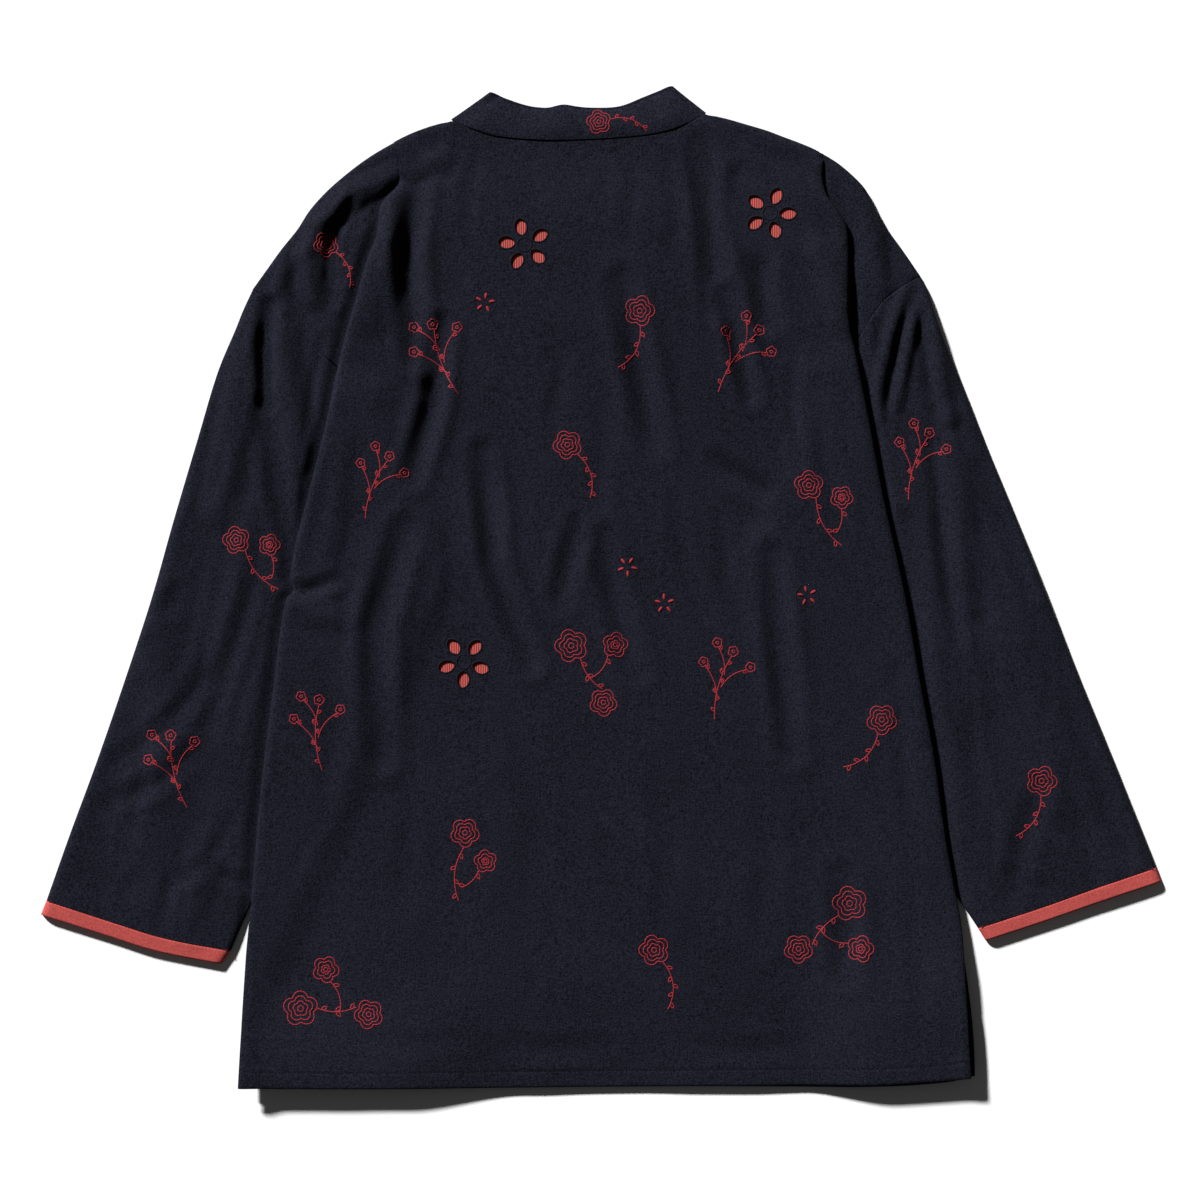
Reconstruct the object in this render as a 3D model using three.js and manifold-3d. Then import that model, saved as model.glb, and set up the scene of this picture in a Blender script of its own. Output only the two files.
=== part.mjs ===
// Stand-collar jacket with wide sleeves, laid flat on its front with the back panel up.
// Millimetres, +Z up, +Y towards the collar, the floor at Z = 0.
import * as THREE from 'three';
import { mergeVertices } from 'three/addons/utils/BufferGeometryUtils.js';
import Module from 'manifold-3d';

const wasm = await Module();
wasm.setup();

// Cloth walls and the way the layers lie on each other.
const CLOTH = 1.2;
const COLLAR_CLOTH = 1.6;
const BACKING_CLOTH = 0.8;
const SEAM_GAP = 0.3;
const LAYER_STEP = CLOTH + SEAM_GAP;
const SLEEVE_STEP = 1.8;
const LIFT_OVER_SLEEVE = 3.3;
const LIFT_RAMP = 30;
const RAMP_ROOM = 9;
const EDGE_ROLL = 5.5;
const TUBE_EDGE = 0.9;
const BACK_SWELL = 2;
const BACK_CROWN = 2.6;
const SIDE_SWELL = 3;
const LEFT_CORNER_LIFT = 9;
const RIGHT_CORNER_LIFT = 8;

// Outlines seen from above. Every table runs from the collar end to the hem end, or from left to right.
const BACK_NECK = table(['x', 'y'], [
  [-113, 352], [-99, 346.5], [-83, 341.2], [-64, 338.6], [-45, 337.4], [-24, 337.5],
  [-3, 338.2], [18, 339.6], [39, 342], [60, 347.5], [79, 357],
]);
const FRONT_NECK = table(['x', 'y'], [
  [-113, 352], [-109, 331], [-97, 309], [-77, 292], [-50, 281], [-18, 277],
  [14, 281], [42, 293], [62, 312], [74, 334], [79, 357],
]);
const LEFT_SHOULDER = table(['x', 'y'], [
  [-113, 352], [-126, 348.8], [-140, 344], [-149, 340], [-158, 335.2], [-173, 326], [-188, 315.4],
  [-206, 300.2], [-220, 285], [-230, 269.8], [-242, 254.6], [-253, 239.4], [-264, 224],
]);
const RIGHT_SHOULDER = table(['x', 'y'], [
  [79, 357], [95, 353.4], [111, 348.8], [126, 344.3], [138, 339.7], [150, 335.2], [161, 330.6],
  [174, 323.5], [185, 315.4], [200, 300.2], [208, 285], [217, 269.8], [228, 254.6], [242, 234],
]);
const LEFT_ARMHOLE = table(['x', 'y'], [
  [-264, 224], [-249, 213.5], [-237, 202], [-226, 189], [-213, 176], [-200, 164],
  [-207, 130], [-196, 98], [-176, 60], [-153, 19],
]);
const RIGHT_ARMHOLE = table(['x', 'y'], [
  [242, 234], [228, 226], [214, 215], [205, 203], [198, 191], [191, 181],
  [200.5, 146], [192, 106], [174, 60], [153, 19],
]);
const LEFT_BODY_EDGE = table(['x', 'y'], [
  [-157, 335.7], [-153, 320], [-153, 306], [-167, 287], [-170, 264], [-176, 249], [-181, 233],
  [-186, 215], [-191, 198], [-199, 166], [-207, 126], [-224, 58], [-232, 26], [-235, 4],
  [-232, -3], [-238, -11], [-248, -80], [-258, -163], [-265, -243], [-269, -285], [-274, -380.5],
]);
const RIGHT_BODY_EDGE = table(['x', 'y'], [
  [169, 326.6], [167.5, 312], [170, 298], [179, 284], [187, 268], [188, 250], [188, 206],
  [190, 191], [193, 176], [198, 150], [203, 125], [214, 66], [223, 26], [231, -11], [241, -69],
  [252, -128], [261, -192], [267, -226], [273, -261], [276, -310], [279.5, -373],
]);
const LEFT_SLEEVE_OUTER = table(['x', 'y'], [
  [-264, 224], [-271, 209], [-277, 194], [-290, 163], [-306, 110], [-324, 49], [-341, -11],
  [-361, -72], [-382, -133], [-403, -190], [-420.5, -239.4],
]);
const RIGHT_SLEEVE_OUTER = table(['x', 'y'], [
  [242, 234], [247, 224], [257, 194], [269, 163], [290, 110], [315, 49], [339, -11],
  [363, -72], [388, -133], [406, -178], [420.5, -214.3],
]);
const LEFT_SLEEVE_INNER = table(['x', 'y'], [
  [-153, 19], [-180, -45], [-208, -110], [-237, -175], [-265, -239], [-281.5, -277.4],
]);
const RIGHT_SLEEVE_INNER = table(['x', 'y'], [
  [153, 19], [181, -45], [209, -110], [237, -170], [262, -222], [286.5, -260],
]);
const LEFT_CUFF = table(['x', 'y'], [[-420.5, -239.4], [-368, -256.5], [-333, -267.3], [-281.5, -277.4]]);
const RIGHT_CUFF = table(['x', 'y'], [[420.5, -214.3], [376, -229.5], [331, -245.5], [286.5, -260]]);
const LEFT_CUFF_END = table(['x', 'y'], [[-424.8, -250.2], [-374, -266.2], [-339.5, -277.2], [-288.4, -287.4]]);
const RIGHT_CUFF_END = table(['x', 'y'], [[424.8, -225], [381, -239.6], [336.5, -255], [292.4, -269.6]]);
const BACK_HEM = table(['x', 'y'], [
  [-274, -380.5], [-190, -381], [-90, -381], [0, -380.3], [100, -379.6], [197, -378.4],
  [250, -375.8], [279.5, -373],
]);
const FRONT_HEM = table(['x', 'y'], [
  [-272, -378.8], [-180, -379.4], [-60, -380], [60, -380.6], [156, -381], [220, -379.6],
  [262, -376.6], [283, -371.6],
]);

// How high the back swells beside its two side edges, from collar to hem.
const LEFT_SWELL = table(['y', 'height'], [
  [336, -1.1], [312, 0.2], [290, 3.4], [262, 5.6], [215, 6.4], [164, 6], [60, 4.2], [0, 3.4],
  [-120, 2.2], [-260, 1.6], [-381, 0.4],
]);
const RIGHT_SWELL = table(['y', 'height'], [
  [327, -1], [305, 0.8], [280, 4], [250, 6], [195, 6.2], [150, 4.6], [40, 3.8], [-120, 2.8],
  [-260, 1.4], [-381, 0.6],
]);

// Folds: a soft trough (negative) or ridge (positive) along a bent line from a by m to b.
const FOLD_COLUMNS = ['ax', 'ay', 'mx', 'my', 'bx', 'by', 'width', 'height'];
const BACK_FOLDS = table(FOLD_COLUMNS, [
  [-143, 318, -150, 255, -142, 176, 10, -3.6],
  [-124, 200, -130, 141, -146, 84, 9, -3.2],
  [-93, 104, -85, 20, -56, -56, 9, -3],
  [-152, 44, -173, -30, -170, -128, 11, -2.8],
  [-20, 48, -28, 18, -33, -10, 9, -1.8],
  [12, 232, 25, 170, 38, 110, 11, -2.2],
  [-2, 38, 8, -8, 24, -62, 10, -2],
  [72, 336, 80, 280, 84, 212, 10, -2.2],
  [92, 222, 101, 186, 111, 146, 8, -3.2],
  [86, 98, 100, 86, 120, 72, 8, -2.4],
  [104, 312, 115, 255, 125, 204, 10, -2.8],
  [126, 26, 134, -48, 142, -124, 10, -2.4],
  [180, -218, 184, -254, 182, -292, 11, -1.8],
  [-84, -346, -40, -349, 4, -346, 9, -1.4],
  [150, 270, 168, 246, 184, 206, 11, 2.4],
  [-146, 316, -160, 270, -178, 206, 13, 2],
  [-124, 326, -142, 322, -160, 314, 8, 2.4],
  [-236, -2, -222, 0, -204, 6, 6, -2.2],
  [-232, -14, -216, -20, -196, -24, 9, 1.4],
]);
const LEFT_SIDE_FOLDS = table(FOLD_COLUMNS, [
  [-160, 313, -196, 297, -218, 276, 9, 5],
  [-218, 276, -226, 252, -221, 222, 9, 4.4],
  [-172, 302, -200, 272, -206, 224, 9, -3],
  [-254, 214, -258, 186, -256, 140, 7, -4.5],
  [-256, 140, -248, 80, -236, 20, 9, -3.5],
  [-244, 206, -240, 160, -228, 96, 10, 3.4],
  [-268, 200, -280, 130, -292, 60, 12, 3.6],
  [-336, -40, -330, -110, -346, -190, 22, 2.6],
  [-300, -60, -330, -104, -372, -134, 9, -1.6],
  [-310, -124, -342, -150, -380, -164, 8, -1.4],
  [-296, -214, -276, -224, -262, -232, 7, -2],
  [-300, -190, -310, -225, -316, -262, 12, 1.4],
]);
const RIGHT_SIDE_FOLDS = table(FOLD_COLUMNS, [
  [194, 300, 204, 268, 210, 232, 10, 3],
  [228, 224, 216, 190, 205, 130, 6, 2.6],
  [236, 226, 226, 200, 212, 139, 6, -4],
  [236, 218, 230, 190, 222, 139, 5, 3],
  [241, 222, 242, 193, 247, 148, 6, -3.4],
  [243, 226, 252, 190, 262, 130, 7, 4.4],
  [262, 130, 270, 60, 276, -12, 10, 2.6],
  [228, 50, 238, -60, 258, -180, 10, -2.6],
  [300, 20, 320, -60, 352, -150, 22, 2.8],
  [330, -150, 318, -190, 306, -238, 10, -1.6],
  [352, -140, 360, -180, 372, -216, 10, -1.4],
]);

// Stand collar: the top edge over the back neck and over the front neck.
const COLLAR_BACK_TOP = table(['x', 'y', 'z'], [
  [-85.5, 374.6, 4.6], [-71, 368.5, 7.4], [-50, 362.6, 9.4], [-28, 363.4, 10.6], [-6, 362, 11],
  [14, 363, 10.4], [32, 370, 8.6], [46, 375.6, 6.4], [55.5, 379.1, 4.6],
]);
const COLLAR_FRONT_TOP = table(['x', 'y'], [
  [-85.5, 374.6], [-78, 350], [-62, 330], [-41, 317], [-18, 312],
  [6, 317], [28, 331], [46, 352], [55.5, 379.1],
]);
const COLLAR_BASE_RISE = 2.9;
const COLLAR_MIDDLE_RISE = 4.1;
const COLLAR_OPENING = 1.2;
const SEAM_SHARE = 0.375;
const FRONT_CENTRE = -18;
const FRONT_NECK_DROP = 277;
const VENT_TOP = -262;

// Openwork blossoms cut through the back, with red cloth behind them.
const BLOSSOMS = table(['x', 'y', 'turn'], [[-58, 258, 12], [128, 282, -20], [-104, -58, 34]]);
const PETALS = 5;
const PETAL_RING = 13.5;
const PETAL_LENGTH = 13;
const PETAL_WIDTH = 10.5;
const BACKING_RADIUS = 22;

const NAVY = 0x1c1c26;
const RED = 0xc44f4a;

function table(columns, rows) {
  return rows.map((row) => Object.fromEntries(columns.map((name, i) => [name, row[i]])));
}

const lerp = THREE.MathUtils.lerp;
const clamp = THREE.MathUtils.clamp;

function smooth(t) {
  return THREE.MathUtils.smoothstep(t, 0, 1);
}

// A smooth value that follows one column of a table as another column runs up or down.
function follow(rows, key, value) {
  const sorted = rows[0][key] < rows[rows.length - 1][key] ? rows : rows.slice().reverse();
  const keys = sorted.map((row) => row[key]);
  const values = sorted.map((row) => row[value]);
  const last = keys.length - 1;
  const slope = (i) => (values[i + 1] - values[i]) / (keys[i + 1] - keys[i]);
  const tangents = keys.map((_, i) => {
    const before = slope(Math.max(0, i - 1));
    const after = slope(Math.min(last - 1, i));
    return before * after > 0 ? (2 * before * after) / (before + after) : 0;
  });
  return (at) => {
    const place = clamp(at, keys[0], keys[last]);
    const i = Math.min(last - 1, Math.max(0, keys.findIndex((k) => k >= place) - 1));
    const span = keys[i + 1] - keys[i];
    const t = (place - keys[i]) / span;
    const a = (1 + 2 * t) * (1 - t) ** 2 * values[i] + t * (1 - t) ** 2 * span * tangents[i];
    const b = t * t * (3 - 2 * t) * values[i + 1] - t * t * (1 - t) * span * tangents[i + 1];
    return a + b;
  };
}

// A smooth plan curve through a table's points, read by the share of its length.
function curve(rows) {
  const points = rows.map((row) => new THREE.Vector3(row.x, row.y, row.z ?? 0));
  const line = new THREE.CatmullRomCurve3(points, false, 'centripetal');
  line.arcLengthDivisions = 400;
  return (t) => line.getPointAt(clamp(t, 0, 1));
}

// A four-sided patch in plan: top and bottom run in u, left and right run in v.
// A hold over 1 keeps the bends of the right side closer to it.
function patch(top, bottom, left, right, hold = 1) {
  const corners = [top(0), top(1), bottom(0), bottom(1)];
  return (u, v) => {
    const side = u ** hold;
    const point = top(u).multiplyScalar(1 - v).add(bottom(u).multiplyScalar(v));
    point.add(left(v).multiplyScalar(1 - side)).add(right(v).multiplyScalar(side));
    const weights = [(1 - side) * (1 - v), side * (1 - v), (1 - side) * v, side * v];
    corners.forEach((corner, i) => point.addScaledVector(corner, -weights[i]));
    return point;
  };
}

// Shares from 0 to 1: close steps beside the rolled ends, even steps between.
function shares(length, count, rolledStart, rolledEnd) {
  const roll = [0, 0.13, 0.5, 1].map((share) => (share * EDGE_ROLL) / length);
  const start = rolledStart ? roll : [0];
  const end = rolledEnd ? roll.map((share) => 1 - share).reverse() : [1];
  const from = start[start.length - 1];
  const to = end[0];
  const between = Array.from({ length: count - 1 }, (_, i) => lerp(from, to, (i + 1) / count));
  return [...start, ...between, ...end];
}

// A cloth wall on a grid of points: both faces moved out along the normals, the edges closed.
function wall(surface, us, vs, thickness, ring = false) {
  const nu = us.length;
  const nv = vs.length;
  const grid = us.map((u) => vs.map((v) => surface(u, v)));
  const step = (i) => (ring ? (i + nu) % nu : clamp(i, 0, nu - 1));
  const normals = grid.map((column, i) => column.map((_, j) => {
    const across = grid[step(i + 1)][j].clone().sub(grid[step(i - 1)][j]);
    const along = grid[i][Math.min(nv - 1, j + 1)].clone().sub(grid[i][Math.max(0, j - 1)]);
    return along.cross(across).normalize();
  }));
  const positions = [];
  const index = [];
  for (const way of [0.5, -0.5]) {
    grid.forEach((column, i) => column.forEach((point, j) => {
      const moved = point.clone().addScaledVector(normals[i][j], way * thickness);
      positions.push(moved.x, moved.y, moved.z);
    }));
  }
  const upper = (i, j) => step(i) * nv + j;
  const lower = (i, j) => upper(i, j) + nu * nv;
  const quad = (a, b, c, d) => index.push(a, b, c, a, c, d);
  const columns = ring ? nu : nu - 1;
  for (let i = 0; i < columns; i += 1) {
    for (let j = 0; j < nv - 1; j += 1) {
      const next = grid[step(i + 1)];
      const slanted = grid[i][j].distanceTo(next[j + 1]) > grid[i][j + 1].distanceTo(next[j]);
      if (slanted) {
        quad(upper(i, j + 1), upper(i + 1, j + 1), upper(i + 1, j), upper(i, j));
        quad(lower(i + 1, j), lower(i + 1, j + 1), lower(i, j + 1), lower(i, j));
      } else {
        quad(upper(i, j), upper(i, j + 1), upper(i + 1, j + 1), upper(i + 1, j));
        quad(lower(i, j), lower(i + 1, j), lower(i + 1, j + 1), lower(i, j + 1));
      }
    }
    quad(upper(i, 0), upper(i + 1, 0), lower(i + 1, 0), lower(i, 0));
    quad(upper(i, nv - 1), lower(i, nv - 1), lower(i + 1, nv - 1), upper(i + 1, nv - 1));
  }
  if (!ring) {
    for (let j = 0; j < nv - 1; j += 1) {
      quad(upper(0, j), lower(0, j), lower(0, j + 1), upper(0, j + 1));
      quad(upper(nu - 1, j), upper(nu - 1, j + 1), lower(nu - 1, j + 1), lower(nu - 1, j));
    }
  }
  const geometry = new THREE.BufferGeometry();
  geometry.setAttribute('position', new THREE.Float32BufferAttribute(positions, 3));
  geometry.setIndex(index);
  return geometry;
}

function toManifold(geometry) {
  const bare = geometry.clone();
  bare.deleteAttribute('normal');
  bare.deleteAttribute('uv');
  const merged = mergeVertices(bare, 1e-5);
  const mesh = new wasm.Mesh({
    numProp: 3,
    vertProperties: new Float32Array(merged.attributes.position.array),
    triVerts: new Uint32Array(merged.index.array),
  });
  return new wasm.Manifold(mesh);
}

function fromManifold(solid) {
  const mesh = solid.getMesh();
  const geometry = new THREE.BufferGeometry();
  geometry.setAttribute('position', new THREE.BufferAttribute(new Float32Array(mesh.vertProperties), 3));
  geometry.setIndex(new THREE.BufferAttribute(new Uint32Array(mesh.triVerts), 1));
  return geometry;
}

// The two sides share every function below; x is always read in the jacket's own frame.
const SIDES = {
  left: {
    sign: -1,
    shoulder: LEFT_SHOULDER,
    armhole: LEFT_ARMHOLE,
    edge: follow(LEFT_BODY_EDGE, 'y', 'x'),
    edgeTop: LEFT_BODY_EDGE[0],
    edgeEnd: LEFT_BODY_EDGE[LEFT_BODY_EDGE.length - 1],
    swell: follow(LEFT_SWELL, 'y', 'height'),
    hidden: follow([...LEFT_ARMHOLE.slice(5, -1), ...LEFT_SLEEVE_INNER, { x: -312, y: -335 }], 'y', 'x'),
    outer: LEFT_SLEEVE_OUTER,
    inner: LEFT_SLEEVE_INNER,
    cuff: LEFT_CUFF,
    cuffEnd: LEFT_CUFF_END,
    folds: LEFT_SIDE_FOLDS,
    seamEnd: LEFT_ARMHOLE[5],
  },
  right: {
    sign: 1,
    shoulder: RIGHT_SHOULDER,
    armhole: RIGHT_ARMHOLE,
    edge: follow(RIGHT_BODY_EDGE, 'y', 'x'),
    edgeTop: RIGHT_BODY_EDGE[0],
    edgeEnd: RIGHT_BODY_EDGE[RIGHT_BODY_EDGE.length - 1],
    swell: follow(RIGHT_SWELL, 'y', 'height'),
    hidden: follow([...RIGHT_ARMHOLE.slice(5, -1), ...RIGHT_SLEEVE_INNER, { x: 322, y: -312 }], 'y', 'x'),
    outer: RIGHT_SLEEVE_OUTER,
    inner: RIGHT_SLEEVE_INNER,
    cuff: RIGHT_CUFF,
    cuffEnd: RIGHT_CUFF_END,
    folds: RIGHT_SIDE_FOLDS,
    seamEnd: RIGHT_ARMHOLE[5],
  },
};

const backNeck = follow(BACK_NECK, 'x', 'y');
const leftShoulder = follow(LEFT_SHOULDER, 'x', 'y');
const rightShoulder = follow(RIGHT_SHOULDER, 'x', 'y');
const backHem = follow(BACK_HEM, 'x', 'y');
const frontHem = follow(FRONT_HEM, 'x', 'y');

// Share of the full lift of the front panels where a sleeve lies under them.
function liftShare(x, y, room = 0) {
  return Math.max(...Object.values(SIDES).map((side) => {
    const inwards = side.sign * (side.hidden(y) - x);
    const across = 1 - smooth((inwards - 20 - room) / LIFT_RAMP);
    const down = smooth((side.seamEnd.y + room - 2 - y) / LIFT_RAMP);
    return across * down;
  }));
}

// Both layers stand up from the floor at the two hem corners.
function hemLift(x, y) {
  const left = LEFT_CORNER_LIFT * smooth((-60 - x) / 100) * smooth((-285 - y) / 90);
  const right = RIGHT_CORNER_LIFT * smooth((x - 150) / 60) * smooth((-240 - y) / 90);
  return left + right;
}

// Height of the front panels' middle surface, and of the back's edges lying on them.
function frontHeight(x, y) {
  return CLOTH / 2 + LIFT_OVER_SLEEVE * liftShare(x, y) + hemLift(x, y);
}

function backRim(x, y) {
  return CLOTH / 2 + LIFT_OVER_SLEEVE * liftShare(x, y, RAMP_ROOM) + LAYER_STEP + hemLift(x, y);
}

// Sum of the troughs and ridges of a fold table at a place.
function foldHeight(folds, x, y) {
  const at = new THREE.Vector2(x, y);
  const segment = (a, b) => {
    const line = b.clone().sub(a);
    const t = clamp(at.clone().sub(a).dot(line) / line.lengthSq(), 0, 1);
    return { distance: at.distanceTo(a.clone().addScaledVector(line, t)), t };
  };
  return folds.reduce((sum, fold) => {
    const middle = new THREE.Vector2(fold.mx, fold.my);
    const first = segment(new THREE.Vector2(fold.ax, fold.ay), middle);
    const second = segment(middle, new THREE.Vector2(fold.bx, fold.by));
    const near = first.distance < second.distance ? first : second;
    const along = near === first ? near.t / 2 : 0.5 + near.t / 2;
    const taper = Math.sin(Math.PI * (0.12 + 0.76 * along)) ** 0.8;
    return sum + fold.height * taper * Math.exp(-((near.distance / fold.width) ** 2));
  }, 0);
}

// The cloth lies calmer round each openwork blossom.
function calm(x, y) {
  return BLOSSOMS.reduce((share, blossom) => {
    const distance = Math.hypot(x - blossom.x, y - blossom.y);
    return share * smooth((distance - 27) / 20);
  }, 1);
}

// Swell of the back over the front panels, away from its rolled edges.
function backSwell(x, y) {
  const beside = Object.values(SIDES).reduce((sum, side) => {
    const inwards = Math.max(0, side.sign * (side.edge(y) - x));
    return sum + side.swell(y) * Math.exp(-inwards / 42);
  }, 0);
  const folds = foldHeight(BACK_FOLDS, x, y) * calm(x, y);
  const middle = BACK_SWELL + BACK_CROWN * Math.exp(-(((x + 8) / 150) ** 2)) * smooth((330 - y) / 60);
  return Math.max(0.9, middle + beside + folds);
}

function rolled(distance, radius = EDGE_ROLL) {
  return Math.sqrt(1 - (1 - clamp(distance / radius, 0, 1)) ** 2);
}

// The back between its two side edges, from neck seam and shoulders to the hem.
function backPlan() {
  const { left, right } = SIDES;
  const top = (u) => {
    const x = lerp(left.edgeTop.x, right.edgeTop.x, u);
    const neckStart = BACK_NECK[0].x;
    const neckEnd = BACK_NECK[BACK_NECK.length - 1].x;
    const shoulder = x < neckStart ? leftShoulder(x) : rightShoulder(x);
    return new THREE.Vector3(x, x >= neckStart && x <= neckEnd ? backNeck(x) : shoulder, 0);
  };
  const bottom = (u) => {
    const x = lerp(left.edgeEnd.x, right.edgeEnd.x, u);
    return new THREE.Vector3(x, backHem(x), 0);
  };
  const edge = (side) => (v) => {
    const y = lerp(side.edgeTop.y, side.edgeEnd.y, v);
    return new THREE.Vector3(side.edge(y), y, 0);
  };
  return patch(top, bottom, edge(left), edge(right));
}

function backSurface() {
  const plan = backPlan();
  return (u, v) => {
    const point = plan(u, v);
    const rim = backRim(point.x, point.y);
    const sides = rolled(point.distanceTo(plan(0, v))) * rolled(point.distanceTo(plan(1, v)));
    const top = plan(u, 0);
    const outside = Math.max(BACK_NECK[0].x - top.x, top.x - BACK_NECK[BACK_NECK.length - 1].x);
    const shoulder = lerp(1, rolled(point.distanceTo(top)), smooth((outside + 4) / 12));
    point.z = rim + backSwell(point.x, point.y) * sides * shoulder;
    return point;
  };
}

// The part of the back between a side edge's fold and the dropped armhole seam.
function wingSurface(side) {
  const start = side.edgeTop;
  const shoulder = side.shoulder.filter((row) => side.sign * (row.x - start.x) > 2);
  const outer = curve([{ x: start.x - side.sign * 6, y: start.y + 3 }, ...shoulder]);
  const hem = curve(side.armhole.slice(0, 6).map((row, i, rows) => (
    i === rows.length - 1 ? { x: row.x - side.sign * 7, y: row.y - 3 } : row
  )));
  const topEnd = { x: start.x - side.sign * 9, y: start.y - 3 };
  const corner = hem(1);
  const inner = (v) => {
    const y = lerp(topEnd.y, corner.y, v);
    const x = side.edge(Math.max(y, side.seamEnd.y)) - side.sign * 7;
    const nearTop = smooth(1 - v * 5);
    const nearEnd = smooth(v * 8 - 7);
    return new THREE.Vector3(lerp(lerp(x, topEnd.x, nearTop), corner.x, nearEnd), y, 0);
  };
  const top = (u) => outer(0).lerp(inner(0), u);
  const plan = patch(top, hem, outer, inner);
  return (u, v) => {
    const point = plan(u, v);
    const rim = backRim(point.x, point.y);
    const beyond = Math.max(0, side.sign * (point.x - side.edge(point.y)));
    const open = smooth((beyond - 4) / 15);
    const swell = Math.max(0.3, (SIDE_SWELL + foldHeight(side.folds, point.x, point.y)) * open);
    point.z = rim + swell * rolled(point.distanceTo(plan(0, v)));
    return point;
  };
}

function petalGeometry(blossom, petal) {
  const shape = new THREE.Shape();
  const half = PETAL_WIDTH / 2;
  shape.moveTo(0, -PETAL_LENGTH / 2);
  shape.bezierCurveTo(half * 1.1, -PETAL_LENGTH * 0.32, half * 1.2, PETAL_LENGTH * 0.34, 0, PETAL_LENGTH / 2);
  shape.bezierCurveTo(-half * 1.2, PETAL_LENGTH * 0.34, -half * 1.1, -PETAL_LENGTH * 0.32, 0, -PETAL_LENGTH / 2);
  const geometry = new THREE.ExtrudeGeometry(shape, { depth: 30, bevelEnabled: false, curveSegments: 7 });
  geometry.translate(0, PETAL_RING, -5);
  geometry.rotateZ(THREE.MathUtils.degToRad(blossom.turn + (petal * 360) / PETALS));
  geometry.translate(blossom.x, blossom.y, 0);
  return geometry;
}

function backGeometry() {
  const neckShares = [BACK_NECK[0], BACK_NECK[BACK_NECK.length - 1]].map((row) => (
    (row.x - SIDES.left.edgeTop.x) / (SIDES.right.edgeTop.x - SIDES.left.edgeTop.x)
  ));
  const columns = shares(470, 33, true, true).map((share, i, all) => {
    const snapped = neckShares.find((neck) => Math.abs(neck - share) < (all[8] - all[7]) / 2);
    return snapped ?? share;
  });
  const rows = shares(716, 28, true, false);
  let solid = toManifold(wall(backSurface(), columns, rows, CLOTH));
  for (const side of Object.values(SIDES)) {
    const wing = wall(wingSurface(side), shares(60, 7, true, false), shares(160, 11, false, false), CLOTH);
    solid = solid.add(toManifold(wing));
  }
  for (const blossom of BLOSSOMS) {
    for (let petal = 0; petal < PETALS; petal += 1) {
      solid = solid.subtract(toManifold(petalGeometry(blossom, petal)));
    }
  }
  return fromManifold(solid);
}

// Red cloth under one openwork blossom, made from the back's own surface and moved down.
function backingGeometry(blossom) {
  const down = (CLOTH + BACKING_CLOTH) / 2 + 0.55;
  const surface = (u, v) => {
    const a = 2 * u - 1;
    const b = 1 - 2 * v;
    const x = blossom.x + BACKING_RADIUS * a * Math.sqrt(1 - (b * b) / 2);
    const y = blossom.y + BACKING_RADIUS * b * Math.sqrt(1 - (a * a) / 2);
    return new THREE.Vector3(x, y, backRim(x, y) + backSwell(x, y) - down);
  };
  const even = shares(1, 6, false, false);
  return wall(surface, even, even, BACKING_CLOTH);
}

// One front panel: centre front, front neck, shoulder, armhole and side edge, hem.
function frontGeometry(side) {
  const middle = FRONT_CENTRE + side.sign * 0.6;
  const neck = FRONT_NECK.filter((row) => side.sign * (row.x - FRONT_CENTRE) > 1);
  const outwards = side.sign < 0 ? neck.slice().reverse() : neck;
  const neckLine = curve([{ x: middle, y: FRONT_NECK_DROP }, ...outwards]);
  const shoulderLine = curve(side.shoulder);
  const seam = curve(side.armhole.slice(0, 6));
  const hemEnd = side.sign < 0 ? FRONT_HEM[0] : FRONT_HEM[FRONT_HEM.length - 1];
  const neckShare = 0.42;
  const seamShare = 0.13;
  const top = (u) => (
    u < neckShare ? neckLine(u / neckShare) : shoulderLine((u - neckShare) / (1 - neckShare))
  );
  const bottom = (u) => {
    const x = lerp(middle, hemEnd.x, u);
    return new THREE.Vector3(x, frontHem(x), 0);
  };
  const inner = (v) => new THREE.Vector3(middle, lerp(FRONT_NECK_DROP, frontHem(middle), v), 0);
  const outer = (v) => {
    if (v < seamShare) return seam(v / seamShare);
    const y = lerp(side.seamEnd.y, hemEnd.y, (v - seamShare) / (1 - seamShare));
    const below = smooth((side.seamEnd.y - y) / 12);
    const vent = smooth((VENT_TOP - y) / 30) * smooth((VENT_TOP - y) / 110);
    const x = lerp(side.seamEnd.x, side.edge(y), below);
    return new THREE.Vector3(lerp(x, hemEnd.x, vent), y, 0);
  };
  const plan = patch(top, bottom, inner, outer, 2.6);
  const surface = (u, v) => {
    const point = plan(u, v);
    point.z = frontHeight(point.x, point.y);
    return point;
  };
  const us = joinedShares(neckShare, 7, 6);
  const vs = joinedShares(seamShare, 3, 20);
  return wall(surface, us, vs, CLOTH);
}

// Even shares up to a joint on the edge, then even shares beyond it.
function joinedShares(joint, before, after) {
  const first = Array.from({ length: before }, (_, i) => (joint * i) / before);
  const second = Array.from({ length: after + 1 }, (_, i) => lerp(joint, 1, i / after));
  return [...first, ...second];
}

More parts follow.
